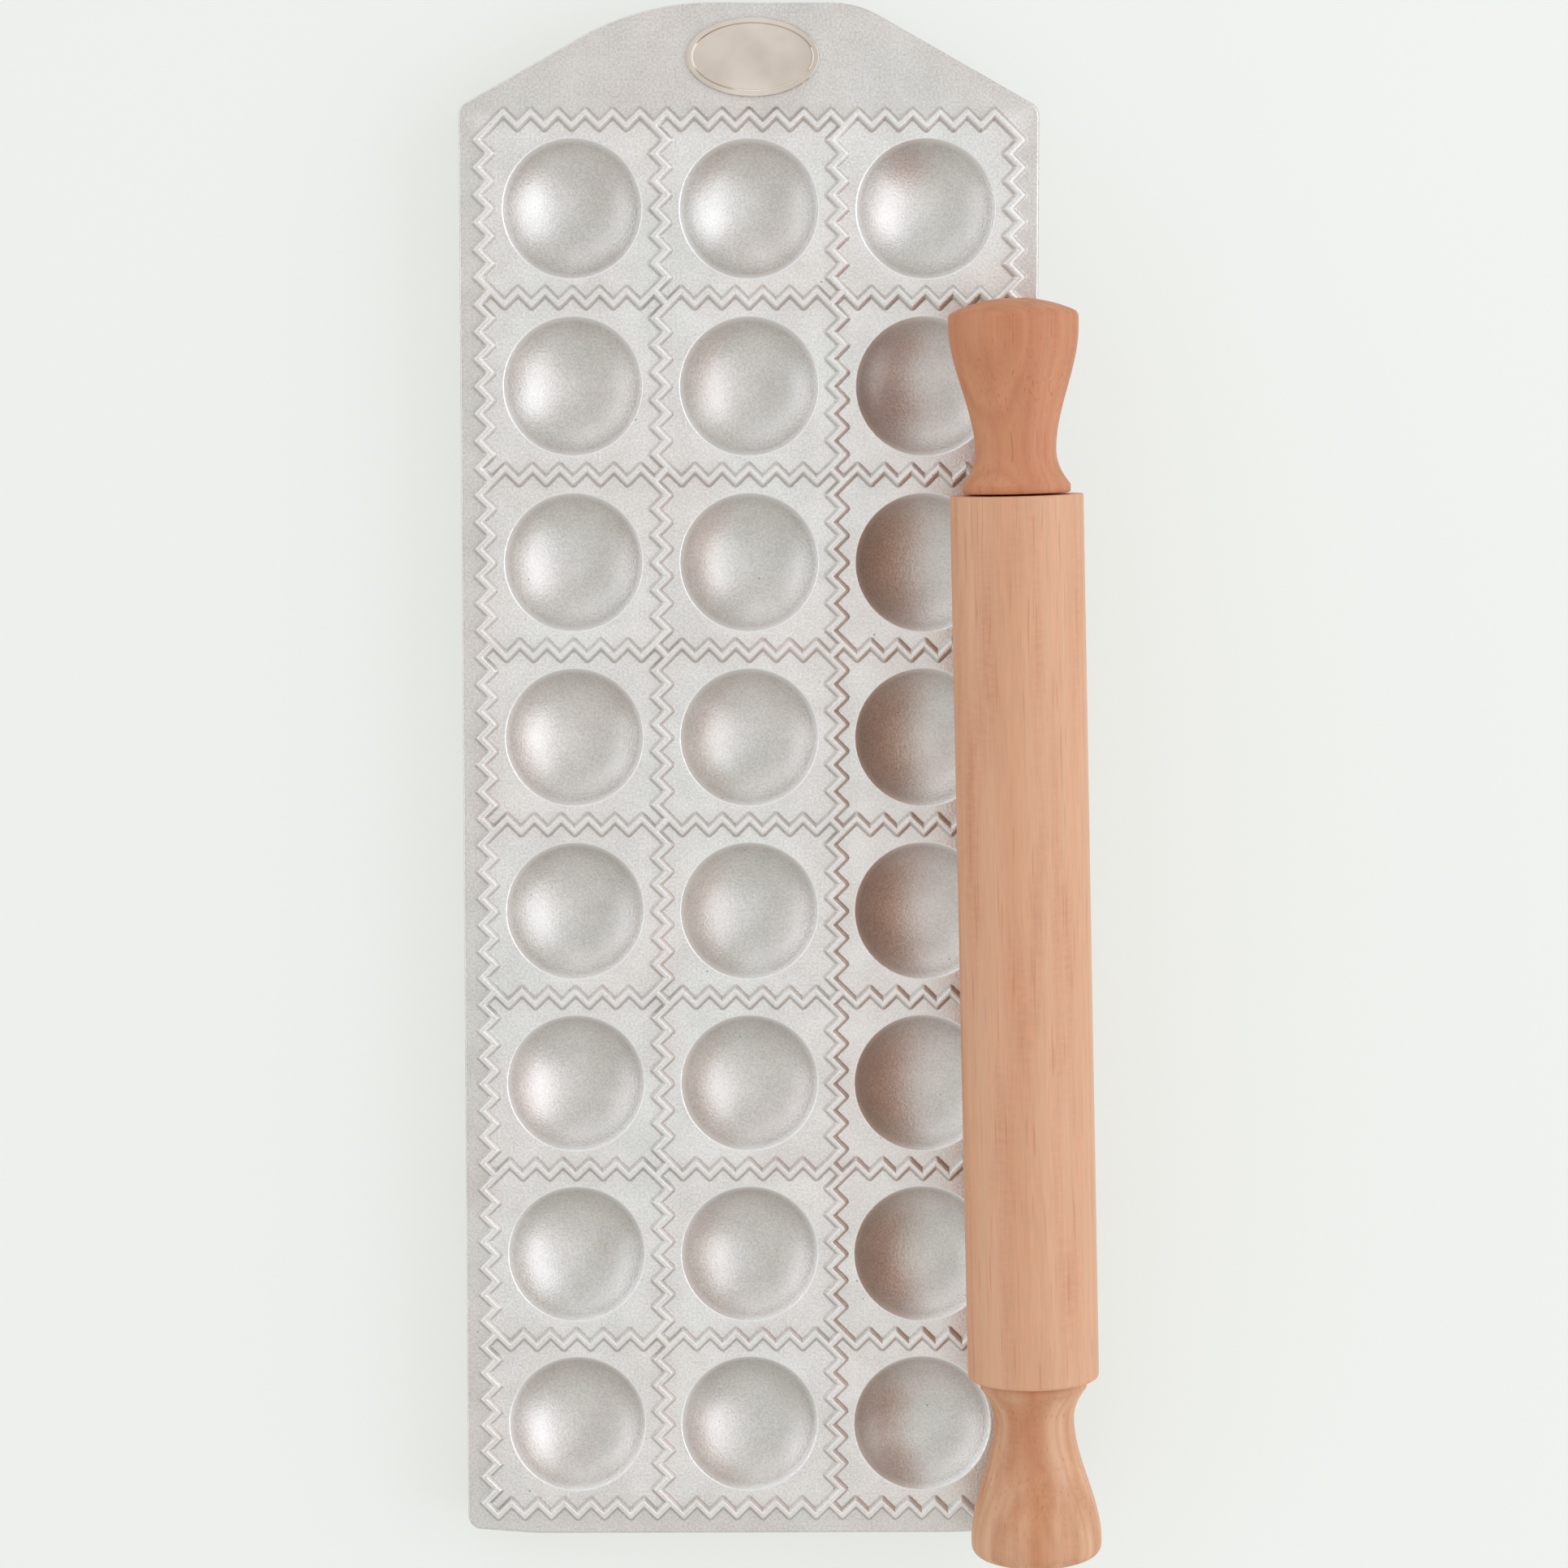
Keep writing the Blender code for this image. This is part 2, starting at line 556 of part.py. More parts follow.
def build_pin(parts, pin_frame, materials):
    # Everything is turned about the frame's Z, which runs along the pin towards the tray's head.
    add_turned_piece("pin_axle", axle_profile(), False, SMALL_STEPS, parts, pin_frame, materials["steel"])
    add_turned_piece("pin_barrel", barrel_profile(), True, BARREL_STEPS, parts, pin_frame, materials["barrel"])
    washer = tube_profile(WASHER_RADIUS, AXLE_HOLE_RADIUS, 0.0, WASHER_THICKNESS)
    bush = tube_profile(AXLE_HOLE_RADIUS + BUSH_WALL, AXLE_HOLE_RADIUS, 0.0, BUSH_LENGTH)
    washer_at = BARREL_HALF + HANDLE_GAP - RUNNING_GAP - WASHER_THICKNESS
    bush_at = BARREL_HALF - washer_recess() - BUSH_LENGTH
    handle_at = BARREL_HALF + HANDLE_GAP
    ends = (("upper", UPPER_CAP_RADIUS, 1, 0.0), ("lower", LOWER_CAP_RADIUS, -1, math.pi))
    for end, cap_radius, side, flip in ends:
        handle = handle_profile(cap_radius)
        pieces = (
            (f"pin_handle_{end}", handle, HANDLE_STEPS, handle_at, materials[f"{end} handle"]),
            (f"thrust_washer_{end}", washer, SMALL_STEPS, washer_at, materials["steel"]),
            (f"barrel_bush_{end}", bush, SMALL_STEPS, bush_at, materials["nylon"]),
        )
        for name, profile, steps, height, material in pieces:
            piece = add_turned_piece(name, profile, True, steps, parts, pin_frame, material)
            piece.location.z = side * height
            piece.rotation_euler.x = flip


def pin_reach(cap_radius):
    # How far one end of the turned pin reaches sideways and along the tray, from the barrel's middle.
    rings = [(BARREL_RADIUS, BARREL_HALF - BARREL_EDGE_ROUND)]
    base = BARREL_HALF + HANDLE_GAP
    rings += [(radius, base + height) for radius, height in handle_profile(cap_radius)]
    sine = math.sin(PIN_TURN)
    cosine = math.cos(PIN_TURN)
    sideways = max(cosine * radius + sine * height for radius, height in rings)
    along = max(cosine * height + sine * radius for radius, height in rings)
    return sideways, along


def grid_offset():
    # Moves the middle of the grid so that the whole set's box stands centred on the origin.
    sideways, lower_reach = pin_reach(LOWER_CAP_RADIUS)
    upper_reach = pin_reach(UPPER_CAP_RADIUS)[1]
    right = max(TRAY_HALF_WIDTH, PIN_X + sideways)
    foot = min(FOOT_Y, PIN_Y - lower_reach)
    head = max(HEAD_Y, PIN_Y + upper_reach)
    return Vector(((TRAY_HALF_WIDTH - right) / 2, -(foot + head) / 2, 0.0))


def main():
    clear_scene()
    parts = new_collection("ravioli mould")
    cutters = new_collection("cutters")
    materials = {
        "aluminium": make_material("cast aluminium", (0.62, 0.60, 0.58), 0.5, 1.0),
        "nickel": make_material("nickel plate", (0.60, 0.54, 0.49), 0.25, 1.0),
        "steel": make_material("bright steel", (0.50, 0.50, 0.50), 0.35, 1.0),
        "nylon": make_material("white nylon", (0.80, 0.79, 0.75), 0.5),
        "barrel": make_material("pale beech", (0.68, 0.40, 0.24), 0.55),
        "upper handle": make_material("reddish beech", (0.58, 0.27, 0.13), 0.55),
        "lower handle": make_material("warm beech", (0.62, 0.32, 0.17), 0.55),
    }
    offset = grid_offset()
    tray_frame = add_empty("tray frame", offset, (0.0, 0.0, 0.0), parts)
    pin_place = offset + Vector((PIN_X, PIN_Y, PIN_HEIGHT))
    pin_frame = add_empty("pin frame", pin_place, (-math.pi / 2, 0.0, PIN_TURN), parts)
    build_tray(parts, cutters, tray_frame, materials["aluminium"])
    build_badge(parts, cutters, tray_frame, materials["nickel"], materials["steel"])
    build_pin(parts, pin_frame, materials)


main()
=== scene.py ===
# Ravioli mould: a cast aluminium tray of round wells with zigzag cutting ridges, a bare oval badge
# plate on its head, and the small turned beech rolling pin that lies along its right side.
import json
import math

import bmesh
import bpy
import numpy as np
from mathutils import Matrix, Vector, geometry

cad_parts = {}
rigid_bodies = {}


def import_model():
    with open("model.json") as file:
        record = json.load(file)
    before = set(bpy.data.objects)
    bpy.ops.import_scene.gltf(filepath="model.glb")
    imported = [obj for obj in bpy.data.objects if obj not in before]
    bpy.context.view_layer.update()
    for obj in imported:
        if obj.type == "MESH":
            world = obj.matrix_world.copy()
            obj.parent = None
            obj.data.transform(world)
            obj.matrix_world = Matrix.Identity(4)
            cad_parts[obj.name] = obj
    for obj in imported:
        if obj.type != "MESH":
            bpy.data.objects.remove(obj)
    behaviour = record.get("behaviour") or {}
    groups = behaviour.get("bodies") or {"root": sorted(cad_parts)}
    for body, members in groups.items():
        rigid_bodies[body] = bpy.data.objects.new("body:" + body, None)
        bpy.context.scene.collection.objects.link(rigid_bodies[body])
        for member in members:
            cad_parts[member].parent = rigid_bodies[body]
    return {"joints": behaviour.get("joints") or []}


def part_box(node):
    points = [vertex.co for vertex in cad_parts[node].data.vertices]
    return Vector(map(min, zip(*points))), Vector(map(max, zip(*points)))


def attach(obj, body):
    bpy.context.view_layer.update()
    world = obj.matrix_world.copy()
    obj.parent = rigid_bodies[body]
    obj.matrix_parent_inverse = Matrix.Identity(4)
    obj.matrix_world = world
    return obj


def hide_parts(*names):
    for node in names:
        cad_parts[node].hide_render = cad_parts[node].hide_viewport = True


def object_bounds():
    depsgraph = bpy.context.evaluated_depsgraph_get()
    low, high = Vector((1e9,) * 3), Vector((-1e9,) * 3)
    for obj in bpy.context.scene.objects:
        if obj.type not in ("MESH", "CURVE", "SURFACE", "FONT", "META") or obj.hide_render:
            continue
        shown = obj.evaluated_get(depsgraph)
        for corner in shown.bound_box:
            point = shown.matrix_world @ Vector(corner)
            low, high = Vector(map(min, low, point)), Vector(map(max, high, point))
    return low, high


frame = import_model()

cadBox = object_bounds()
mm = 0.001
joinWithin = 0.001   # points closer than this, in mm, become one
triangulateWithin = 0.00001   # the same, in mm, for Blender's triangulation, which is asked for
hullTriangles, edgeLoops = 0, 3   # triangles over all the points, or the loops that the edges close
sliverHeight = 0.0005   # a flat triangle lower than this, in mm, is only a rounding error and left out
wideSpan, closeSpan = (0.3, 0.7), (0.35, 0.65)   # the noise values between which a tone changes

print("clearing the startup scene")
leftovers = [thing for thing in bpy.data.objects if thing.type in ("LIGHT", "CAMERA") or thing.name == "Cube"]
for extra in leftovers:
    bpy.data.objects.remove(extra, do_unlink=True)


# Colours and nodes

def linear(hexColour):
    # sRGB hex to the linear values that shaders take: divide, then undo the display curve.
    parts = [int(hexColour[k:k + 2], 16) / 255 for k in (1, 3, 5)]
    return tuple(c / 12.92 if c <= 0.04045 else ((c + 0.055) / 1.055) ** 2.4 for c in parts) + (1.0,)


def addNode(tree, kind, settings, inputs):
    # Adds a node, sets its own settings (a ramp's colours too), then fills or links its sockets.
    made = tree.nodes.new(kind)
    for name, value in settings.items():
        if name == "stops":
            for spare in range(len(value) - 2):
                made.color_ramp.elements.new(0.5)
            for element, (place, colour) in zip(made.color_ramp.elements, value):
                element.position = place
                element.color = colour
        else:
            setattr(made, name, value)
    for name, value in inputs.items():
        if isinstance(value, bpy.types.NodeSocket):
            tree.links.new(value, made.inputs[name])
        else:
            made.inputs[name].default_value = value
    return made.outputs


def newMaterial(name):
    # A named material with its node tree and its shader.
    material = bpy.data.materials.new(name)
    material.use_nodes = True
    return material, material.node_tree, material.node_tree.nodes["Principled BSDF"]


def dressShader(tree, shader, colour, rough, reliefs):
    # Links a material's colour and roughness to its shader, then its reliefs, each (height, depth in
    # mm), as bumps of which each builds on the one before.
    shape = {}
    for height, depth in reliefs:
        shape["Normal"] = addNode(tree, "ShaderNodeBump", {}, {
            "Height": height, "Distance": depth * mm, "Strength": 1.0, **shape})["Normal"]
    for socket, value in (("Base Color", colour), ("Roughness", rough), ("Normal", shape["Normal"])):
        tree.links.new(value, shader.inputs[socket])


# Shapes worked out on grids

def gridFaces(rows, columns, columnsClose=False):
    # Quads of a grid of rows by columns: the last row joins the first, and columns do so where asked.
    r = np.arange(rows)[:, None]
    c = np.arange(columns if columnsClose else columns - 1)[None]
    thisRow, nextRow, nextColumn = r * columns, (r + 1) % rows * columns, (c + 1) % columns
    corners = (thisRow + c, nextRow + c, nextRow + nextColumn, thisRow + nextColumn)
    return np.stack(corners, -1).reshape(-1, 4)


def circle(steps):
    # Evenly spaced directions round a full turn: (cos a, sin a).
    angle = np.arange(steps) * math.tau / steps
    return np.stack([np.cos(angle), np.sin(angle)], 1)


def arc(centre, radius, start, end, steps):
    # Points (x, z) at one distance from a centre; angles in radians from +x.
    angle = np.linspace(start, end, steps + 1)
    return np.stack([centre[0] + radius * np.cos(angle), centre[1] + radius * np.sin(angle)], 1)


def bend(start, corner, end, steps):
    # A quadratic curve that leaves start towards the corner and arrives at end from it.
    t = np.linspace(0, 1, steps + 1)[:, None]
    return (1 - t) ** 2 * np.array(start) + 2 * t * (1 - t) * np.array(corner) + t ** 2 * np.array(end)


def ballRadius(half, depth):
    # The sphere that a cap is cut from: half its width squared plus its depth squared, by twice its depth.
    return (half ** 2 + depth ** 2) / (2 * depth)


def atHeight(loop, z):
    # Plan points (x, y), all lifted to one height.
    return np.column_stack([loop, np.full(len(loop), float(z))])


def turned(profile, steps, closes=False):
    # A profile of (radius, height) points carried round the z axis: x = r cos a, y = r sin a.
    profile = np.asarray(profile, float)
    plan = circle(steps)[:, None, :] * profile[None, :, :1]
    height = np.broadcast_to(profile[None, :, 1:], (steps, len(profile), 1))
    points = np.concatenate([plan, height], 2).reshape(-1, 3)
    return points, gridFaces(steps, len(profile), closes)


def lofted(rings):
    # Rings of equal counts, one inside or below the other, joined point to point.
    grid = np.stack(rings, 1)
    return grid.reshape(-1, 3), gridFaces(*grid.shape[:2])


def sideDirections(loop):
    # Unit directions of the sides that arrive at each point of a closed loop and leave it.
    arriving, leaving = loop - np.roll(loop, 1, 0), np.roll(loop, -1, 0) - loop
    return [side / np.linalg.norm(side, axis=1)[:, None] for side in (arriving, leaving)]


def tidyLoop(loop):
    # Leaves out points that coincide with the one before them.
    step = np.linalg.norm(loop - np.roll(loop, 1, 0), axis=1)
    return loop[step > joinWithin]


def insideLoops(points, starts, ends):
    # Even-odd rule: a point is inside where a line from it along +x crosses an odd number of edges.
    x, y = points[:, :1], points[:, 1:]
    spans = (starts[:, 1] > y) != (ends[:, 1] > y)
    rise = ends[:, 1] - starts[:, 1]
    share = (y - starts[:, 1]) / np.where(rise == 0, 1.0, rise)
    crossing = starts[:, 0] + share * (ends[:, 0] - starts[:, 0])
    return (spans & (x < crossing)).sum(1) % 2 == 1


def flatArea(outer, holes, z):
    # Triangles that fill a loop but not the loops inside it, all at one height.
    loops = [tidyLoop(loop[:, :2]) for loop in (outer, *holes)]
    points = np.concatenate(loops)
    first = np.cumsum([0] + [len(loop) for loop in loops[:-1]])
    edges = np.concatenate([
        np.stack([start + np.arange(len(loop)), start + (np.arange(len(loop)) + 1) % len(loop)], 1)
        for start, loop in zip(first, loops)])
    corners2d = [Vector(p) for p in points]
    found = geometry.delaunay_2d_cdt(corners2d, edges.tolist(), [], hullTriangles, triangulateWithin)
    corners, faces = np.array([tuple(p) for p in found[0]]), np.array(found[2])
    kept = insideLoops(corners[faces].mean(1), points[edges[:, 0]], points[edges[:, 1]])
    sideA, sideB = corners[faces[:, 1]] - corners[faces[:, 0]], corners[faces[:, 2]] - corners[faces[:, 0]]
    doubleArea = np.abs(sideA[:, 0] * sideB[:, 1] - sideA[:, 1] * sideB[:, 0])
    longest = np.sqrt(np.maximum.reduce([(side ** 2).sum(1) for side in (sideA, sideB, sideB - sideA)]))
    kept &= doubleArea > sliverHeight * longest
    return atHeight(corners, z), faces[kept]


def buildPiece(name, parts, material, body, replaced, moved, sharpAngle):
    # Joins the parts, each (points in mm, faces, smooth or not), merges their seams, turns every
    # face outwards and puts the piece at its place in the object's frame.
    points = moved(np.concatenate([np.asarray(p, float) for p, f, s in parts]))
    faces, smooth, first = [], [], 0
    for p, f, s in parts:
        faces += (np.asarray(f) + first).tolist()
        smooth += [s] * len(f)
        first += len(p)
    mesh = bpy.data.meshes.new(name)
    mesh.from_pydata((points * mm).tolist(), [], faces)
    mesh.polygons.foreach_set("use_smooth", np.array(smooth, bool))
    work = bmesh.new()
    work.from_mesh(mesh)
    bmesh.ops.remove_doubles(work, verts=work.verts, dist=joinWithin * mm)
    bmesh.ops.recalc_face_normals(work, faces=work.faces)
    work.to_mesh(mesh)
    work.free()
    mesh.set_sharp_from_angle(angle=math.radians(sharpAngle))
    piece = bpy.data.objects.new(name, mesh)
    bpy.context.scene.collection.objects.link(piece)
    mesh.materials.append(material)
    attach(piece, body)
    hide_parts(replaced)
    print("made", name, len(mesh.polygons), "faces")
    return piece


# The cast tray. All sizes in mm, from the middle of the grid of wells; heights from the table.

tray = {
    "cell": 36.0, "columns": 3, "rows": 8, "halfTeeth": 13,
    "faceHeight": 14.0, "crestHeight": 15.5, "faceThickness": 2.6, "skirt": 2.6,
    "crestHalf": 0.39, "crestRound": 0.27, "crestPoints": 4, "flankFoot": 1.00, "footFillet": 0.40,
    "footStrip": 0.06, "tipRound": 0.08, "outerGrowth": 0.55, "innerGrowth": 0.22, "cornerRays": 3,
    "wellRadius": 14.2, "wellDepth": 7.8, "wellSteps": 72, "mouthRound": 0.45, "mouthSteps": 5,
    "bowlRings": 10, "cupWall": 2.1, "cupFillet": 1.0, "cupSteps": 48, "cupRings": 7,
    "sideMargin": 5.0, "footMargin": 5.4, "bowRise": 1.1, "bowLength": 14.6, "shoulderStart": 2.5,
    "headLength": 23.5, "headFlat": 43.6, "sharpestRound": 0.2,
    "cornerRound": 3.0, "cornerSteps": 10, "bowRound": 60.0, "bowSteps": 5, "sideSteps": 8,
    "rightShoulder": 20.0, "rightSteps": 12, "leftShoulder": 55.0, "leftSteps": 20,
    "edgeRound": 0.5, "edgeSteps": 5, "rimRound": 0.4, "rimSteps": 3, "innerFillet": 1.0, "filletSteps": 4,
    "postHole": 1.3, "postSpacing": 14.0, "postSteps": 24, "badgeX": 0.7, "badgeAboveGrid": 12.5,
    "sharpAngle": 50.0,
}
gridHalf = np.array([tray["columns"], tray["rows"]]) * tray["cell"] / 2
trayLow, trayHigh = (np.array(corner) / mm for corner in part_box("mould_tray"))
gridMiddle = np.array([(trayLow[0] + trayHigh[0]) / 2, trayHigh[1] - gridHalf[1] - tray["headLength"], 0.0])
badgeMiddle = np.array([tray["badgeX"], gridHalf[1] + tray["badgeAboveGrid"]])


def onTray(points):
    # From the middle of the grid of wells to its place in the frame.
    return points + gridMiddle


def ridgeNetwork(t):
    # The zigzag tips lie on one lattice of half teeth; every flank is a diagonal of it, and
    # crossing ridges share a flank. A flank with a free end is left out.
    lastI, lastJ = t["halfTeeth"] * t["columns"], t["halfTeeth"] * t["rows"]
    j, i = np.arange(lastJ + 2), np.arange(lastI + 2)
    lines = [np.stack([b + (b + j + 1) % 2, j], 1) for b in range(0, lastI + 1, t["halfTeeth"])]
    lines += [np.stack([i, b + (b + i + 1) % 2], 1) for b in range(0, lastJ + 1, t["halfTeeth"])]
    pairs = np.concatenate([np.concatenate([line[:-1], line[1:]], 1) for line in lines])
    back = (pairs[:, 0] > pairs[:, 2]) | ((pairs[:, 0] == pairs[:, 2]) & (pairs[:, 1] > pairs[:, 3]))
    pairs[back] = pairs[back][:, [2, 3, 0, 1]]
    pairs = np.unique(pairs, axis=0)
    nodes, place = np.unique(pairs.reshape(-1, 2), axis=0, return_inverse=True)
    place = place.reshape(-1, 2)
    uses = np.bincount(place.ravel(), minlength=len(nodes))
    place = place[(uses[place] > 1).all(1)]
    kept = np.unique(place)
    number = np.full(len(nodes), -1)
    number[kept] = np.arange(len(kept))
    edges = number[place]
    nodes = nodes[kept]
    uses = np.bincount(edges.ravel(), minlength=len(nodes))
    return (nodes - 0.5) * t["cell"] / t["halfTeeth"] - gridHalf, edges, uses


def networkLoops(points, edges):
    # Closed loops with their area on the left: each cell's, then the one round the whole grid.
    corners2d = [Vector(p) for p in points]
    found = geometry.delaunay_2d_cdt(corners2d, edges.tolist(), [], edgeLoops, triangulateWithin)
    origin = np.array([o[0] for o in found[3]])
    cells = [origin[np.array(face)] for face in found[2]]
    sides = {(a, b) for face in cells for a, b in zip(face, np.roll(face, -1))}
    after = {b: a for a, b in sides if (b, a) not in sides}
    outer = [min(after)]
    while after[outer[-1]] != outer[0]:
        outer.append(after[outer[-1]])
    return cells, np.array(outer)


def ridgeProfile(t):
    # Across one side of a ridge, from its middle: flat crest, rounded edge, sloping flank, fillet
    # at the foot and a narrow flat strip, as (distance, height).
    top, low, crestRound, fillet = t["crestHeight"], t["faceHeight"], t["crestRound"], t["footFillet"]
    slope = math.atan2(top - low, t["flankFoot"] - t["crestHalf"])
    lean = np.linspace(0, slope, t["crestPoints"])
    rise = lean[::-1]
    crestEnd = t["crestHalf"] - crestRound * math.tan(slope / 2)
    footEnd = t["flankFoot"] + fillet * math.tan(slope / 2)
    crest = np.stack([crestEnd + crestRound * np.sin(lean), top - crestRound * (1 - np.cos(lean))], 1)
    foot = np.stack([footEnd - fillet * np.sin(rise), low + fillet * (1 - np.cos(rise))], 1)
    return np.concatenate([[[0.0, top]], crest, foot, [[footEnd + t["footStrip"], low]]])


def ridgeSide(loop, uses, profile, t):
    # A grid of (node and ray, ring). Each ring is the loop moved to its left by the profile's
    # distance, its corners rounded by a radius that grows with that distance.
    arriving, leaving = sideDirections(loop)
    normalA, normalB = arriving[:, ::-1] * [-1, 1], leaving[:, ::-1] * [-1, 1]
    # 1 where the loop turns left, -1 where right and 0 where straight on, rounding errors left out.
    turn = np.sign(np.round(arriving[:, 0] * leaving[:, 1] - arriving[:, 1] * leaving[:, 0], 3))
    mitre = (normalA + normalB) / (1 + (normalA * normalB).sum(1))[:, None]
    angle = np.linspace(0, math.pi / 2, t["cornerRays"])
    ray = np.cos(angle)[None, :, None] * normalA[:, None] + np.sin(angle)[None, :, None] * normalB[:, None]
    distance, height = profile[:, 0], profile[:, 1]
    growth = np.where(turn > 0, t["innerGrowth"], t["outerGrowth"]) * (turn != 0)
    start = t["tipRound"] * (uses == 2) * (turn != 0)
    radius = start[:, None] + growth[:, None] * distance
    centre = mitre[:, None, :] * (distance + turn[:, None] * radius)[:, :, None]
    rounding = (turn[:, None] * radius)[:, None, :, None] * ray[:, :, None, :]
    plan = loop[:, None, None, :] + centre[:, None] - rounding
    heights = np.broadcast_to(height, plan.shape[:3])[..., None]
    return np.concatenate([plan, heights], 3).reshape(-1, len(distance), 3)


def outlineRing(t, inset):
    # The tray's outline moved in by an inset: straight sides between rounded corners, where the
    # rounding's centre lies on the corner's bisector and its arc runs between the sides' normals.
    half = gridHalf[0] + t["sideMargin"]
    bowX, flatX = half - t["bowLength"], t["headFlat"] / 2
    footY, headY = -gridHalf[1] - t["footMargin"], gridHalf[1] + t["headLength"]
    cornerY, sideY = footY + t["bowRise"], gridHalf[1] + t["shoulderStart"]
    rounds = [
        (-half, cornerY, t["cornerRound"], t["cornerSteps"]), (-bowX, footY, t["bowRound"], t["bowSteps"]),
        (bowX, footY, t["bowRound"], t["bowSteps"]), (half, cornerY, t["cornerRound"], t["cornerSteps"]),
        (half, sideY, t["cornerRound"], t["sideSteps"]), (flatX, headY, t["rightShoulder"], t["rightSteps"]),
        (-flatX, headY, t["leftShoulder"], t["leftSteps"]), (-half, sideY, t["cornerRound"], t["sideSteps"]),
    ]
    arriving, leaving = sideDirections(np.array([c[:2] for c in rounds]))
    normalA, normalB = arriving[:, ::-1] * [1, -1], leaving[:, ::-1] * [1, -1]
    dots = (normalA * normalB).sum(1)
    bisector = (normalA + normalB) / (1 + dots)[:, None]
    arcs = []
    for (x, y, radius, steps), normal, toMiddle, dot in zip(rounds, normalA, bisector, dots):
        reach = max(radius - inset, t["sharpestRound"])
        centre = np.array([x, y]) - toMiddle * (inset + reach)
        start = math.atan2(normal[1], normal[0])
        arcs.append(arc(centre, reach, start, start + math.acos(dot), steps))
    return np.concatenate(arcs)


def bowlProfile(ball, middle, roundHigh, rounding, steps, rings):
    # From outside inwards: a rounded edge that touches a level surface and a sphere, then the sphere
    # down to its lowest point. The edge's centre lies at roundHigh, one rounding off the sphere.
    drop = middle - roundHigh
    centreR = math.sqrt((ball + rounding) ** 2 - drop ** 2)
    tilt = math.atan2(centreR, drop)
    edge = arc((centreR, roundHigh), rounding, math.pi / 2, math.pi / 2 + tilt, steps)
    down = np.linspace(tilt, 0, rings + 1)[1:]
    return np.concatenate([edge, np.stack([ball * np.sin(down), middle - ball * np.cos(down)], 1)])


def wellAndCup(t):
    # The well's sphere, cut by the face, and below it the cup's, one wall further out; the well
    # starts with a narrow flat strip on the face.
    ball, mouth, fillet = ballRadius(t["wellRadius"], t["wellDepth"]), t["mouthRound"], t["cupFillet"]
    top, under = t["faceHeight"], t["faceHeight"] - t["faceThickness"]
    middle = top + ball - t["wellDepth"]
    well = bowlProfile(ball, middle, top - mouth, mouth, t["mouthSteps"], t["bowlRings"])
    cup = bowlProfile(ball + t["cupWall"], middle, under - fillet, fillet, t["filletSteps"], t["cupRings"])
    return np.concatenate([[[well[0, 0] + t["footStrip"], top]], well]), cup


def skirtRings(t):
    # From the face over its rounded edge, down the skirt, round its foot, up inside, and through
    # a fillet to the underside: pairs of (inset, height).
    top, under = t["faceHeight"], t["faceHeight"] - t["faceThickness"]
    edge, rim, fillet, quarter = t["edgeRound"], t["rimRound"], t["innerFillet"], math.pi / 2
    return np.concatenate([
        [[edge + t["footStrip"], top]],
        arc((edge, top - edge), edge, quarter, 2 * quarter, t["edgeSteps"]),
        arc((rim, rim), rim, 2 * quarter, 3 * quarter, t["rimSteps"]),
        arc((t["skirt"] - rim, rim), rim, 3 * quarter, 4 * quarter, t["rimSteps"]),
        arc((t["skirt"] + fillet, under - fillet), fillet, 2 * quarter, quarter, t["filletSteps"]),
    ])


def trayParts(t):
    # One closed skin: ridges, flat places, wells, rounded edge, skirt, underside and cups.
    points, edges, uses = ridgeNetwork(t)
    cells, outer = networkLoops(points, edges)
    across = ridgeProfile(t)
    well, cup = wellAndCup(t)
    wellPoints, wellFaces = turned(well, t["wellSteps"])
    cupPoints, cupFaces = turned(cup, t["cupSteps"])
    top, under = t["faceHeight"], t["faceHeight"] - t["faceThickness"]
    parts, cupLoops = [], []
    for loop in (*cells, outer):
        side = ridgeSide(points[loop], uses[loop], across, t)
        parts.append((side.reshape(-1, 3), gridFaces(len(side), len(across)), True))
        foot = side[:, -1, :2]
        if loop is outer:
            outerFoot = foot
            continue
        cell = np.round((points[loop].mean(0) + gridHalf) / t["cell"] - 0.5)
        middle = (cell + 0.5) * t["cell"] - gridHalf
        place = np.array([*middle, 0.0])
        mouth = circle(t["wellSteps"]) * well[0, 0] + middle
        parts.append((wellPoints + place, wellFaces, True))
        parts.append((*flatArea(foot, [mouth], top), False))
        parts.append((cupPoints + place, cupFaces, True))
        cupLoops.append(circle(t["cupSteps"]) * cup[0, 0] + middle)
    rings = [atHeight(outlineRing(t, inset), z) for inset, z in skirtRings(t)]
    parts.append((*lofted(rings), True))
    posts = [badgeMiddle + [side * t["postSpacing"] / 2, 0] for side in (-1, 1)]
    holes = [circle(t["postSteps"]) * t["postHole"] + post for post in posts]
    for hole in holes:
        parts.append((*lofted([atHeight(hole, top), atHeight(hole, under)]), True))
    parts.append((*flatArea(rings[0], [outerFoot, *holes], top), False))
    parts.append((*flatArea(rings[-1], cupLoops + holes, under), False))
    return parts


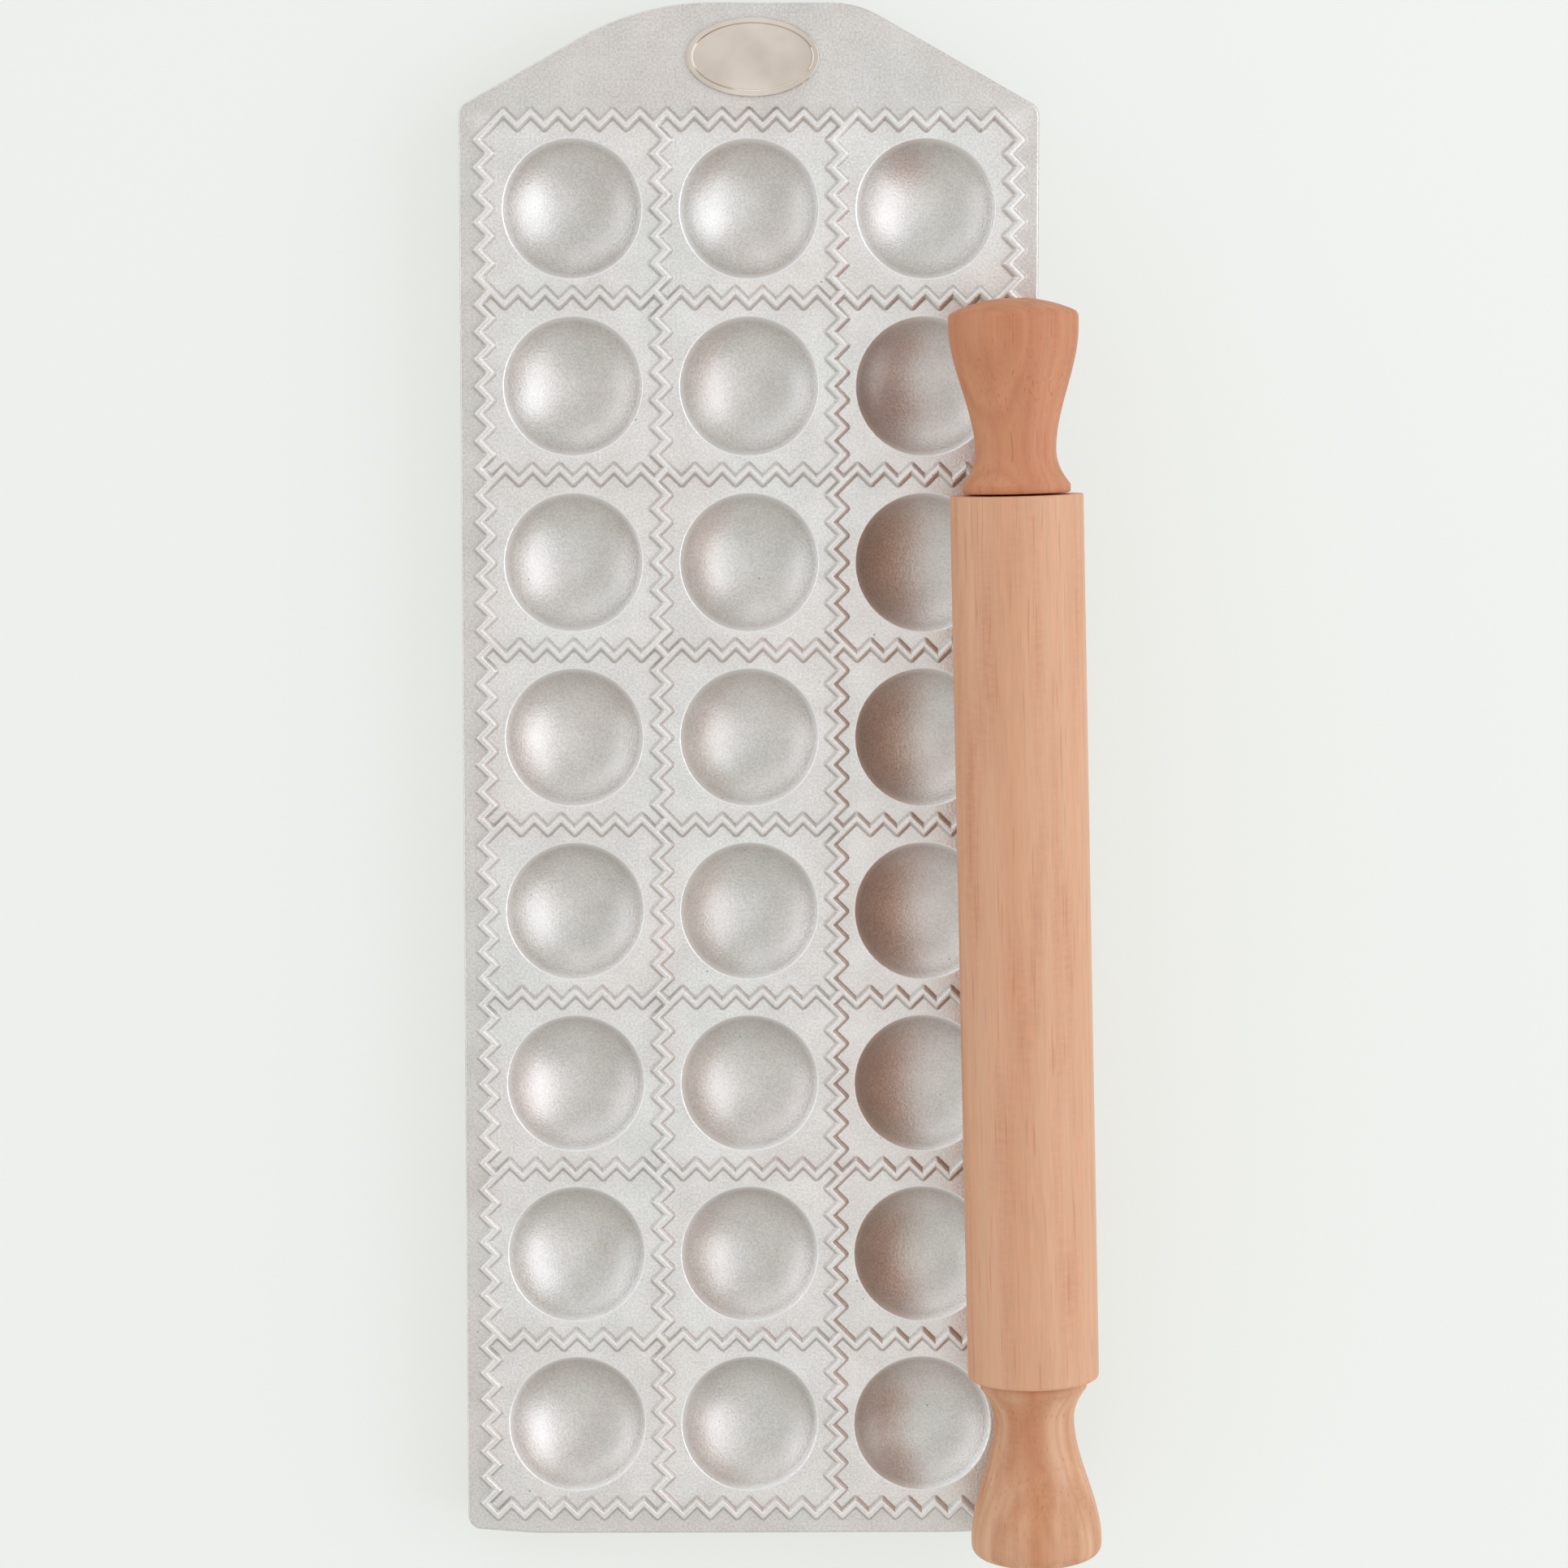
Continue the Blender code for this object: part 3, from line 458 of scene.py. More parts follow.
# Cast aluminium, bead blasted: pale warm grey with a frosted grain. The grain is drawn 0.5 mm wide,
# coarser than blasting leaves it, so that it shows. The wells are drawn darker than the face, the
# crests' rounded edges and the wells' rounded mouths are brightened, partly as handling wear and partly
# as a painted highlight, and the foot of the ridges is darkened as painted shade. The melt leaves faint
# pinkish and greenish clouds, and a few tiny pits stay.
castFinish = {
    # The third tone on the next line darkens everything below the face, that is the wells, between the two
    # heights that follow it.
    "colour": "#F3F0EE", "shade": "#D9D5D2", "wellTone": "#F1F0EF", "wellToneFrom": 13.0, "wellToneTo": 13.9,
    # On the next line, the last two tones are painted shade at the ridges' foot, which also darkens the
    # border and skirt, and a brightening that is partly wear and partly painted highlight.
    "pinkCloud": "#FFFCFB", "greenCloud": "#FDFFFE", "paintedShade": "#E2DFDC", "wearAndHighlight": "#EDEBE9",
    "grainSize": 0.5, "mottleSize": 9.0, "mottleShare": 0.2, "swellSize": 22.0,
    "pit": "#9B9591", "pitSpacing": 7.0, "pitShare": 0.035, "pitCore": 0.5,
    "roughness": (0.37, 0.48), "grainDepth": 0.075, "swellDepth": 0.10,
}


def castMaterial(name, look):
    material, tree, shader = newMaterial(name)
    where = addNode(tree, "ShaderNodeTexCoord", {}, {})["Object"]
    noise = {}
    for kind, detail, roughness in (("grain", 2.0, 0.6), ("mottle", 4.0, 0.55), ("swell", 1.0, 0.5)):
        noise[kind] = addNode(tree, "ShaderNodeTexNoise", {}, {
            "Vector": where, "Scale": 1 / (look[kind + "Size"] * mm), "Detail": detail,
            "Roughness": roughness})["Fac"]
    # Pits: one point to a cell, of which only the nearest surroundings go dark.
    toPit = addNode(tree, "ShaderNodeTexVoronoi", {}, {
        "Vector": where, "Scale": 1 / (look["pitSpacing"] * mm), "Randomness": 1.0})["Distance"]
    height = addNode(tree, "ShaderNodeSeparateXYZ", {}, {"Vector": where})["Z"]
    wear = addNode(tree, "ShaderNodeAttribute", {"attribute_name": "wear"}, {})["Fac"]
    # Each source becomes an amount: the two results at two of its values, and between them a straight
    # or an eased way. Below the face the wells are drawn darker; the attribute of wear and painted light is
    # 0 at painted shade, 0.5 plain and 1 at wear and painted highlight.
    amount = {}
    for use, source, ease, span, results in (
            ("pit", toPit, "SMOOTHSTEP", (look["pitShare"] * look["pitCore"], look["pitShare"]), (1.0, 0.0)),
            ("wellTone", height, "SMOOTHSTEP", (look["wellToneFrom"] * mm, look["wellToneTo"] * mm), (1.0, 0.0)),
            ("grain", noise["grain"], "LINEAR", wideSpan, (0.0, 1.0)),
            ("mottle", noise["mottle"], "LINEAR", closeSpan, (-look["mottleShare"], look["mottleShare"])),
            ("shadeShare", wear, "LINEAR", (0.0, 0.5), (1.0, 0.0)),
            ("highlightAndWearShare", wear, "LINEAR", (0.5, 1.0), (0.0, 1.0)),
            ("rough", noise["grain"], "LINEAR", wideSpan, look["roughness"])):
        amount[use] = addNode(tree, "ShaderNodeMapRange", {"interpolation_type": ease}, {
            "Value": source, "From Min": span[0], "From Max": span[1],
            "To Min": results[0], "To Max": results[1]})["Result"]
    tone = addNode(tree, "ShaderNodeMath", {"operation": "ADD", "use_clamp": True}, {
        0: amount["grain"], 1: amount["mottle"]})["Value"]
    colour = addNode(tree, "ShaderNodeValToRGB", {"stops": [
        (0.0, linear(look["shade"])), (1.0, linear(look["colour"]))]}, {"Fac": tone})["Color"]
    cloud = addNode(tree, "ShaderNodeValToRGB", {"stops": [
        (closeSpan[0], linear(look["greenCloud"])), (closeSpan[1], linear(look["pinkCloud"]))]}, {
        "Fac": noise["swell"]})["Color"]
    # The tints in turn: clouds, the darker wells, painted shade at the ridges' foot and on the border, a
    # brightening that is partly wear and partly painted highlight, and pits.
    for blend, share, tint in (
            ("MULTIPLY", 1.0, cloud), ("MULTIPLY", amount["wellTone"], linear(look["wellTone"])),
            ("MULTIPLY", amount["shadeShare"], linear(look["paintedShade"])),
            ("MIX", amount["highlightAndWearShare"], linear(look["wearAndHighlight"])), ("MIX", amount["pit"], linear(look["pit"]))):
        colour = addNode(tree, "ShaderNodeMixRGB", {"blend_type": blend}, {
            "Fac": share, "Color1": colour, "Color2": tint})["Color"]
    dressShader(tree, shader, colour, amount["rough"], (
        (noise["swell"], look["swellDepth"]), (noise["grain"], look["grainDepth"])))
    shader.inputs["Metallic"].default_value = 1.0
    return material


# The level of each place in the attribute of wear and painted light, how far in mm a point may lie off a
# level and still be on it, and the mouth's band as shares of its rounding.
trayLightAndWear = {
    # The ridges' foot gets painted shade, the border is drawn darker, and the brightest level is partly wear
    # and partly painted highlight.
    "plain": 0.5, "wearAndHighlight": 1.0, "border": 0.24, "foot": 0.0,
    "offFace": 0.005, "offCrest": 0.01, "offFoot": 0.02, "mouthAcross": 0.55, "mouthDown": 0.5,
}


def markLightAndWear(piece, t, w):
    # Each point's level of wear and painted light comes from its height on the ridge and its distance from
    # its well's middle: highest on a crest's rounded edge and a well's rounded mouth, partly wear and partly
    # painted highlight; low on the border and skirt, drawn darker; least at a ridge's foot, as painted shade;
    # plain elsewhere.
    points = np.empty(len(piece.data.vertices) * 3, np.float32)
    piece.data.vertices.foreach_get("co", points)
    points = points.reshape(-1, 3) / mm - gridMiddle
    height, face, crest = points[:, 2], t["faceHeight"], t["crestHeight"]
    inCell = (points[:, :2] + gridHalf) % t["cell"] - t["cell"] / 2
    fromMouth = np.abs(np.linalg.norm(inCell, axis=1) - t["wellRadius"])
    onGrid = (np.abs(points[:, :2]) < gridHalf).all(1)
    crestEdge = (height > crest - t["crestRound"]) & (height < crest - w["offCrest"])
    foot = (height > face + w["offFoot"]) & (height < face + t["footFillet"])
    mouth = onGrid & (fromMouth < t["mouthRound"] * w["mouthAcross"])
    mouth &= (height > face - t["mouthRound"] * w["mouthDown"]) & (height < face - w["offFace"])
    wear = np.full(len(points), w["plain"], np.float32)
    # Border and skirt, drawn darker; then the ridges' foot, painted shade; then the crests' edges and the
    # wells' mouths, partly wear and partly painted highlight.
    wear[~onGrid & (height < face + w["offFace"])] = w["border"]
    wear[foot] = w["foot"]
    wear[crestEdge | mouth] = w["wearAndHighlight"]
    piece.data.attributes.new("wear", "FLOAT", "POINT").data.foreach_set("value", wear)


print("casting the tray")
castMetal = castMaterial("bead blasted cast aluminium", castFinish)
casting = buildPiece("tray_casting", trayParts(tray), castMetal, "tray", "mould_tray",
                     onTray, tray["sharpAngle"])
markLightAndWear(casting, tray, trayLightAndWear)


# The badge plate, bare, with its two posts. The rim's foot is in shares of the edge's rounding.

badge = {
    "length": 26.9, "width": 15.9, "low": 14.3, "high": 15.2, "rimWidth": 1.1, "rimHeight": 0.4,
    "edgeRound": 0.18, "backSteps": 3, "edgeSteps": 4, "rimLean": 0.3, "rimFoot": ((0.6, 0.25), (1.4, 0.0)),
    "crown": 0.38, "crownRings": 14, "steps": 128, "sharpAngle": 60.0,
    "postRadius": 1.0, "postFoot": 9.4, "postRound": 0.25, "postRings": 4,
}


def ovalRing(b, inset):
    # The oval moved in along its own normals: (a cos t, b sin t) less inset times the unit normal.
    around = circle(b["steps"])
    half = np.array([b["length"], b["width"]]) / 2
    normal = around / half
    normal /= np.linalg.norm(normal, axis=1)[:, None]
    return around * half - normal * inset


def badgeParts(b, t):
    # Rings from the back of the plate over its edge and rim, then in over a slight crown, whose
    # height falls as (1 - k squared) squared from the middle, k = 0, to the rim, k = 1.
    edge, quarter = b["edgeRound"], math.pi / 2
    floor, rimTop = b["high"] - b["rimHeight"], b["high"] - edge
    rows = np.concatenate([
        arc((edge, b["low"] + edge), edge, 3 * quarter, 2 * quarter, b["backSteps"]),
        arc((edge, rimTop), edge, 2 * quarter, quarter, b["edgeSteps"]),
        arc((b["rimWidth"] - edge, rimTop), edge, quarter, b["rimLean"], b["edgeSteps"]),
        np.array(b["rimFoot"]) * edge + [b["rimWidth"], floor],
    ])
    rings = [atHeight(ovalRing(b, inset), z) for inset, z in rows]
    inner = ovalRing(b, rows[-1][0])
    share = np.linspace(1, 0, b["crownRings"] + 1)[1:]
    rings += [atHeight(inner * k, floor + b["crown"] * (1 - k * k) ** 2) for k in share]
    tip, postLow = b["postRadius"] - b["postRound"], b["postFoot"]
    post = np.concatenate([
        [[b["postRadius"], b["low"]]],
        arc((tip, postLow + b["postRound"]), b["postRound"], 0.0, -quarter, b["postRings"]),
        [[0.0, postLow]],
    ])
    postPoints, postFaces = turned(post, t["postSteps"])
    middles = [np.array([side * t["postSpacing"] / 2, 0.0]) for side in (-1, 1)]
    holes = [circle(t["postSteps"]) * b["postRadius"] + middle for middle in middles]
    parts = [(*lofted(rings), True), (*flatArea(rings[0], holes, b["low"]), False)]
    return parts + [(postPoints + [*middle, 0.0], postFaces, True) for middle in middles]


# The spring nuts that hold the badge's posts below the face.

pushNut = {
    "radius": 2.9, "hole": 1.3, "top": 11.1, "thickness": 0.5, "dish": 0.4, "kinkFromHole": 0.9,
    "kinkDrop": 0.05, "edgeRound": 0.08, "steps": 48, "sharpAngle": 40.0,
}


def nutParts(n, t, side):
    # A dished spring washer: its section is a thin band that drops towards the post.
    outer, hole, edge = n["radius"], n["hole"], n["edgeRound"]
    high, low, kink = n["top"], n["top"] - n["thickness"], hole + n["kinkFromHole"]
    section = [
        (outer - edge, high), (outer, high - edge), (outer, low + edge), (outer - edge, low),
        (kink, low - n["kinkDrop"]), (hole, low - n["dish"]),
        (hole, high - n["dish"]), (kink, high - n["kinkDrop"]),
    ]
    points, faces = turned(section, n["steps"], True)
    return [(points + [side * t["postSpacing"] / 2, 0.0, 0.0], faces, True)]


def onBadge(points):
    # From the middle of the badge to its place in the frame.
    return points + gridMiddle + [*badgeMiddle, 0.0]


# Nickel plate over die-cast zinc: bright, slightly warm, with the fine lines left by polishing.
nickelFinish = {
    "colour": "#DDD1C6", "shade": "#CBBEB2", "cloudSize": 14.0,
    "roughness": (0.06, 0.13), "lineSize": (9.0, 0.12), "lineDepth": 0.002,
}
# Spring steel and rod: drawn or stamped, plain grey with a soft lengthwise or cloudy wear.
steelFinish = {
    "colour": "#B4B3B1", "shade": "#8F8E8C", "cloudSize": 6.0,
    "roughness": (0.28, 0.45), "lineSize": (4.0, 0.15), "lineDepth": 0.003,
}


def linedMetal(name, look):
    # Long thin noise across one direction stands for polishing or drawing lines.
    cloudSpan, lineShare, roughSpan = (0.35, 0.6), 0.5, (0.5, 1.0)
    material, tree, shader = newMaterial(name)
    where = addNode(tree, "ShaderNodeTexCoord", {}, {})["Object"]
    along, across = look["lineSize"]
    drawn = addNode(tree, "ShaderNodeMapping", {}, {
        "Vector": where, "Scale": (1 / (along * mm), 1 / (across * mm), 1 / (across * mm))})["Vector"]
    lines = addNode(tree, "ShaderNodeTexNoise", {}, {"Vector": drawn, "Scale": 1.0, "Detail": 2.0})["Fac"]
    cloud = addNode(tree, "ShaderNodeTexNoise", {}, {
        "Vector": where, "Scale": 1 / (look["cloudSize"] * mm), "Detail": 3.0})["Fac"]
    colour = addNode(tree, "ShaderNodeValToRGB", {"stops": [
        (cloudSpan[0], linear(look["shade"])), (cloudSpan[1], linear(look["colour"]))]}, {
        "Fac": cloud})["Color"]
    both = addNode(tree, "ShaderNodeMath", {"operation": "MULTIPLY_ADD"}, {
        0: lines, 1: lineShare, 2: cloud})["Value"]
    rough = addNode(tree, "ShaderNodeMapRange", {}, {
        "Value": both, "From Min": roughSpan[0], "From Max": roughSpan[1],
        "To Min": look["roughness"][0], "To Max": look["roughness"][1]})["Result"]
    dressShader(tree, shader, colour, rough, [(lines, look["lineDepth"])])
    shader.inputs["Metallic"].default_value = 1.0
    return material


print("pressing the badge and its nuts")
steelSpring = linedMetal("stamped spring steel", steelFinish)
nickelPlate = linedMetal("polished nickel plate", nickelFinish)
buildPiece("badge_oval", badgeParts(badge, tray), nickelPlate, "tray", "badge_plate",
           onBadge, badge["sharpAngle"])
for sideName, side in (("left", -1), ("right", 1)):
    buildPiece("push_nut_" + sideName, nutParts(pushNut, tray, side), steelSpring, "tray",
               "badge_push_nut_" + sideName, onBadge, pushNut["sharpAngle"])


# The rolling pin. Profiles are (radius, height along the axis from the barrel's middle), and a
# handle's height counts from its own base.

barrel = {
    "radius": 13.45, "half": 90.5, "upperEdge": 0.35, "lowerEdge": 0.8, "edgeSteps": 6,
    "ringsFromEnd": (20.0, 50.0, 80.0), "bore": 2.6, "recessRadius": 5.3, "recessDepth": 1.4,
    "seatRadius": 3.7, "seatGap": 0.3, "steps": 144,
}
bush = {"radius": 3.4, "length": 14.0, "edgeBreak": 0.12, "steps": 48}
washer = {"radius": 5.0, "low": 89.4, "high": 90.6, "edgeBreak": 0.12, "steps": 48}
axle = {
    "radius": 1.5, "holeRadius": 1.8, "headRadius": 2.1, "headFrom": 126.3, "headTo": 127.5,
    "headSide": 0.3, "headSteps": 6, "steps": 48,
}
handle = {
    "at": 90.9, "length": 39.1, "baseRadius": 10.9, "band": 1.6, "bandRing": 0.6, "baseBreak": 0.3,
    "breakBulge": 0.3, "neckRadius": 8.15, "neckAt": 8.4, "flareSteps": 12, "capAt": 33.5, "swellRings": 25,
    "upperCap": 13.1, "lowerCap": 13.4, "upperRound": 1.0, "lowerRound": 1.8, "roundSteps": 8,
    "domeRise": 3.1, "domeRings": 9, "sinkRadius": 2.4, "sinkDepth": 4.0, "sinkBreak": 0.25, "steps": 144,
}
pinSharpAngle = 35.0
spin = next(joint for joint in frame["joints"] if joint["name"] == "barrel_spin")
pinMiddle = np.array(spin["pos_m"]) / mm
pinAxis = np.array(spin["axis"]) / np.linalg.norm(spin["axis"])
pinSide = np.array([pinAxis[1], -pinAxis[0], 0.0])
pinTurn = math.atan2(-pinAxis[0], pinAxis[1])


def onPin(points):
    # Height runs along the pin's axis, the other two across it.
    return pinMiddle + points[:, :1] * pinSide + points[:, 1:2] * [0.0, 0.0, 1.0] + points[:, 2:] * pinAxis


def barrelProfile(b, bushLength):
    # Straight barrel with rounded ends, each with a recess for the washer and a seat for the bush.
    half, radius = b["half"], b["radius"]
    floor = half - b["recessDepth"]
    seatEnd = floor - bushLength - b["seatGap"]
    between = half - np.array(b["ringsFromEnd"])
    upper, lower = (np.concatenate([
        [[b["recessRadius"], half]],
        arc((radius - edge, half - edge), edge, math.pi / 2, 0.0, b["edgeSteps"]),
        np.stack([np.full(len(between), radius), between], 1),
    ]) for edge in (b["upperEdge"], b["lowerEdge"]))
    inside = np.array([
        [b["bore"], seatEnd], [b["seatRadius"], seatEnd],
        [b["seatRadius"], floor], [b["recessRadius"], floor]])
    flip = [1, -1]
    return np.concatenate([upper, lower[::-1] * flip, inside[::-1] * flip, inside])


def handleProfile(h, hole, cap, capRound):
    # Domed tip, rounded cap, long swell (3t squared less 2t cubed) down to the neck, flared base,
    # then the axle's hole and the wider hole that hides the axle's head.
    length, sink, base = h["length"], h["sinkRadius"], h["baseRadius"]
    band, broken = h["band"], h["baseBreak"]
    dome = ballRadius(cap, h["domeRise"])
    radius = np.linspace(sink + h["sinkBreak"], cap - capRound, h["domeRings"])
    tip = np.stack([radius, length - dome + np.sqrt(dome ** 2 - radius ** 2)], 1)
    edge = length - h["domeRise"]
    capEdge = bend(tip[-1], (cap, edge), (cap, edge - capRound), h["roundSteps"])[1:]
    t = np.linspace(0, 1, h["swellRings"])
    swell = cap + (h["neckRadius"] - cap) * (3 * t ** 2 - 2 * t ** 3)
    side = np.stack([swell, h["capAt"] + (h["neckAt"] - h["capAt"]) * t], 1)
    waist = (h["neckRadius"], (h["neckAt"] + band) / 2)
    flare = bend(side[-1], waist, (base, band), h["flareSteps"])[1:]
    sinkFloor, bulge = length - h["sinkDepth"], broken * h["breakBulge"]
    rest = [
        (base, band * h["bandRing"]), (base, broken), (base - bulge, bulge), (base - broken, 0.0),
        (hole, 0.0), (hole, sinkFloor), (sink, sinkFloor), (sink, tip[0, 1] - h["sinkBreak"]),
    ]
    return np.concatenate([tip, capEdge, side, flare, rest])


def tubeProfile(tube, hole, low, high):
    # A plain tube whose outer edges are broken.
    outer, edge = tube["radius"], tube["edgeBreak"]
    return np.array([
        (outer - edge, high), (outer, high - edge), (outer, low + edge), (outer - edge, low), (hole, low),
        (hole, high)])


def axleProfile(a):
    # A rod with a riveted head at each end: a quarter circle, widened and flattened, over a short side.
    sideTop = a["headFrom"] + a["headSide"]
    dome = arc((0.0, 0.0), 1.0, math.pi / 2, 0.0, a["headSteps"])
    head = dome * [a["headRadius"], a["headTo"] - sideTop] + [0.0, sideTop]
    half = np.concatenate([head, [[a["headRadius"], a["headFrom"]], [a["radius"], a["headFrom"]]]])
    return np.concatenate([half, half[::-1] * [1, -1]])


# Beech, turned and left unvarnished: fine straight grain along the pin, faint growth layers, long
# reddish streaks, a few thin dark rays and, in places, the fine cross ripple of beech that is cut
# near its rays. Fibres are drawn 0.3 mm wide, coarser than real ones, so that they show.
beechTones = {
    "barrel": {
        "pale": "#DDAA87", "body": "#DAA481", "red": "#D19270", "ray": "#BC6F4A", "seed": 3.0, "tilt": 8.0,
        "heart": "#D79672", "heartAt": -3.0, "heartHalf": 4.0, "heartShare": 0.25},
    "upper": {
        "pale": "#CF8E67", "body": "#C8845E", "red": "#BC744F", "ray": "#A65A36", "seed": 11.0, "tilt": 35.0,
        "heart": "#C47B55", "heartAt": 2.0, "heartHalf": 5.0, "heartShare": 0.3},
    "lower": {
        "pale": "#DCAC89", "body": "#D29D79", "red": "#C28058", "ray": "#B4663E", "seed": 19.0, "tilt": 14.0,
        "heart": "#C68157", "heartAt": -0.5, "heartHalf": 4.5, "heartShare": 0.8},
}
beechGrain = {
    "layerSpacing": 2.6, "palestAt": 0.7, "warpAcross": 7.0, "warpAlong": 120.0, "warpDepth": 2.2,
    "fibreAcross": 0.30, "fibreAlong": 7.0, "streakAcross": 2.1, "streakAlong": 70.0,
    "rayAcross": 0.38, "rayAlong": 15.0, "raySpan": (0.70, 0.78), "rayShare": 0.40,
    "patchAcross": 5.5, "patchAlong": 60.0, "patchSpan": (0.45, 0.75), "patchShare": 0.9,
    "rippleAcross": 2.4, "rippleAlong": 0.9, "fibreShades": (0.94, 1.045), "streakShades": (0.975, 1.02),
    "rippleShades": (0.93, 1.05), "roughness": (0.46, 0.62), "fibreDepth": 0.015,
}


def beechMaterial(name, tones, look):
    material, tree, shader = newMaterial(name)
    where = addNode(tree, "ShaderNodeTexCoord", {}, {})["Object"]
    # The pin's middle, turned back with the pattern, becomes the pattern's own middle.
    cosine, sine = math.cos(-pinTurn), math.sin(-pinTurn)
    middle = pinMiddle * mm
    shift = (sine * middle[1] - cosine * middle[0], -sine * middle[0] - cosine * middle[1], -middle[2])
    inPin = addNode(tree, "ShaderNodeMapping", {}, {
        "Vector": where, "Rotation": (0.0, 0.0, -pinTurn), "Location": shift})["Vector"]
    tilted = addNode(tree, "ShaderNodeMapping", {}, {
        "Vector": inPin, "Rotation": (0.0, math.radians(tones["tilt"]), 0.0),
        "Location": (0.0, 0.0, tones["seed"])})["Vector"]
    # Noise drawn out along the grain, each as wide and as long as its name in the dictionary says.
    noise = {}
    for kind, detail in (
            ("warp", 2.0), ("patch", 3.0), ("fibre", 3.0), ("streak", 2.0), ("ripple", 1.0), ("ray", 0.0)):
        across, along = 1 / (look[kind + "Across"] * mm), 1 / (look[kind + "Along"] * mm)
        drawn = addNode(tree, "ShaderNodeMapping", {}, {
            "Vector": tilted, "Scale": (across, along, across)})["Vector"]
        noise[kind] = addNode(tree, "ShaderNodeTexNoise", {}, {
            "Vector": drawn, "Scale": 1.0, "Detail": detail})["Fac"]
    # Growth layers: the height across the layers, bent by slow noise, repeats at the ring spacing.
    # Noise is a half on average, so twice the depth moves the layers by one depth on average.
    warp = look["warpDepth"] * 2 * mm
    height = addNode(tree, "ShaderNodeSeparateXYZ", {}, {"Vector": tilted})["Z"]
    bent = addNode(tree, "ShaderNodeMath", {"operation": "MULTIPLY_ADD"}, {
        0: noise["warp"], 1: warp, 2: height})["Value"]
    phase = addNode(tree, "ShaderNodeMath", {"operation": "MULTIPLY"}, {
        0: bent, 1: 1 / (look["layerSpacing"] * mm)})["Value"]
    layer = addNode(tree, "ShaderNodeMath", {"operation": "PINGPONG"}, {0: phase, 1: 1.0})["Value"]
    colour = addNode(tree, "ShaderNodeValToRGB", {"stops": [
        (0.0, linear(tones["body"])), (look["palestAt"], linear(tones["pale"])),
        (1.0, linear(tones["body"]))]}, {"Fac": layer})["Color"]
    # The heart stripe: how far a point lies across the pin from the stripe's middle, made uneven.
    beside = addNode(tree, "ShaderNodeSeparateXYZ", {}, {"Vector": inPin})["X"]
    wander = addNode(tree, "ShaderNodeMath", {"operation": "MULTIPLY_ADD"}, {
        0: noise["warp"], 1: warp, 2: beside})["Value"]
    offset = addNode(tree, "ShaderNodeMath", {"operation": "SUBTRACT"}, {
        0: wander, 1: (tones["heartAt"] + look["warpDepth"]) * mm})["Value"]
    away = addNode(tree, "ShaderNodeMath", {"operation": "ABSOLUTE"}, {0: offset})["Value"]
    # Each source becomes an amount or a shade: the two results at two of its values.
    amount = {}
    for use, source, span, results in (
            ("heart", away, (0.0, tones["heartHalf"] * mm), (tones["heartShare"], 0.0)),
            ("patch", noise["patch"], look["patchSpan"], (0.0, look["patchShare"])),
            ("ray", noise["ray"], look["raySpan"], (0.0, look["rayShare"])),
            ("fibre", noise["fibre"], wideSpan, look["fibreShades"]),
            ("streak", noise["streak"], closeSpan, look["streakShades"]),
            ("ripple", noise["ripple"], closeSpan, look["rippleShades"]),
            ("rough", noise["fibre"], wideSpan, look["roughness"])):
        amount[use] = addNode(tree, "ShaderNodeMapRange", {}, {
            "Value": source, "From Min": span[0], "From Max": span[1],
            "To Min": results[0], "To Max": results[1]})["Result"]
    # The ripple of beech only shows in the red patches, so its shade fades out with them.
    rippled = addNode(tree, "ShaderNodeMix", {"data_type": "FLOAT"}, {
        0: amount["patch"], 2: 1.0, 3: amount["ripple"]})[0]
    for blend, share, tint in (
            ("MIX", amount["heart"], linear(tones["heart"])), ("MIX", amount["patch"], linear(tones["red"])),
            ("MULTIPLY", 1.0, amount["fibre"]), ("MULTIPLY", 1.0, amount["streak"]),
            ("MULTIPLY", 1.0, rippled), ("MIX", amount["ray"], linear(tones["ray"]))):
        colour = addNode(tree, "ShaderNodeMixRGB", {"blend_type": blend}, {
            "Fac": share, "Color1": colour, "Color2": tint})["Color"]
    dressShader(tree, shader, colour, amount["rough"], [(noise["fibre"], look["fibreDepth"])])
    return material


# Natural nylon: milky white, moulded, with a faint flow texture.
nylonFinish = {
    "colour": "#E9E6DC", "shade": "#DDD9CC", "flowSize": 3.0, "roughness": (0.38, 0.5), "flowDepth": 0.01,
}


def nylonMaterial(name, look):
    material, tree, shader = newMaterial(name)
    where = addNode(tree, "ShaderNodeTexCoord", {}, {})["Object"]
    flow = addNode(tree, "ShaderNodeTexNoise", {}, {
        "Vector": where, "Scale": 1 / (look["flowSize"] * mm), "Detail": 3.0})["Fac"]
    colour = addNode(tree, "ShaderNodeValToRGB", {"stops": [
        (closeSpan[0], linear(look["shade"])), (closeSpan[1], linear(look["colour"]))]}, {
        "Fac": flow})["Color"]
    rough = addNode(tree, "ShaderNodeMapRange", {}, {
        "Value": flow, "To Min": look["roughness"][0], "To Max": look["roughness"][1]})["Result"]
    dressShader(tree, shader, colour, rough, [(flow, look["flowDepth"])])
    return material


def turnPiece(name, profile, steps, closes, material, body, replaced):
    # One piece of the pin: its profile carried round the pin's axis.
    points, faces = turned(profile, steps, closes)
    buildPiece(name, [(points, faces, True)], material, body, replaced, onPin, pinSharpAngle)


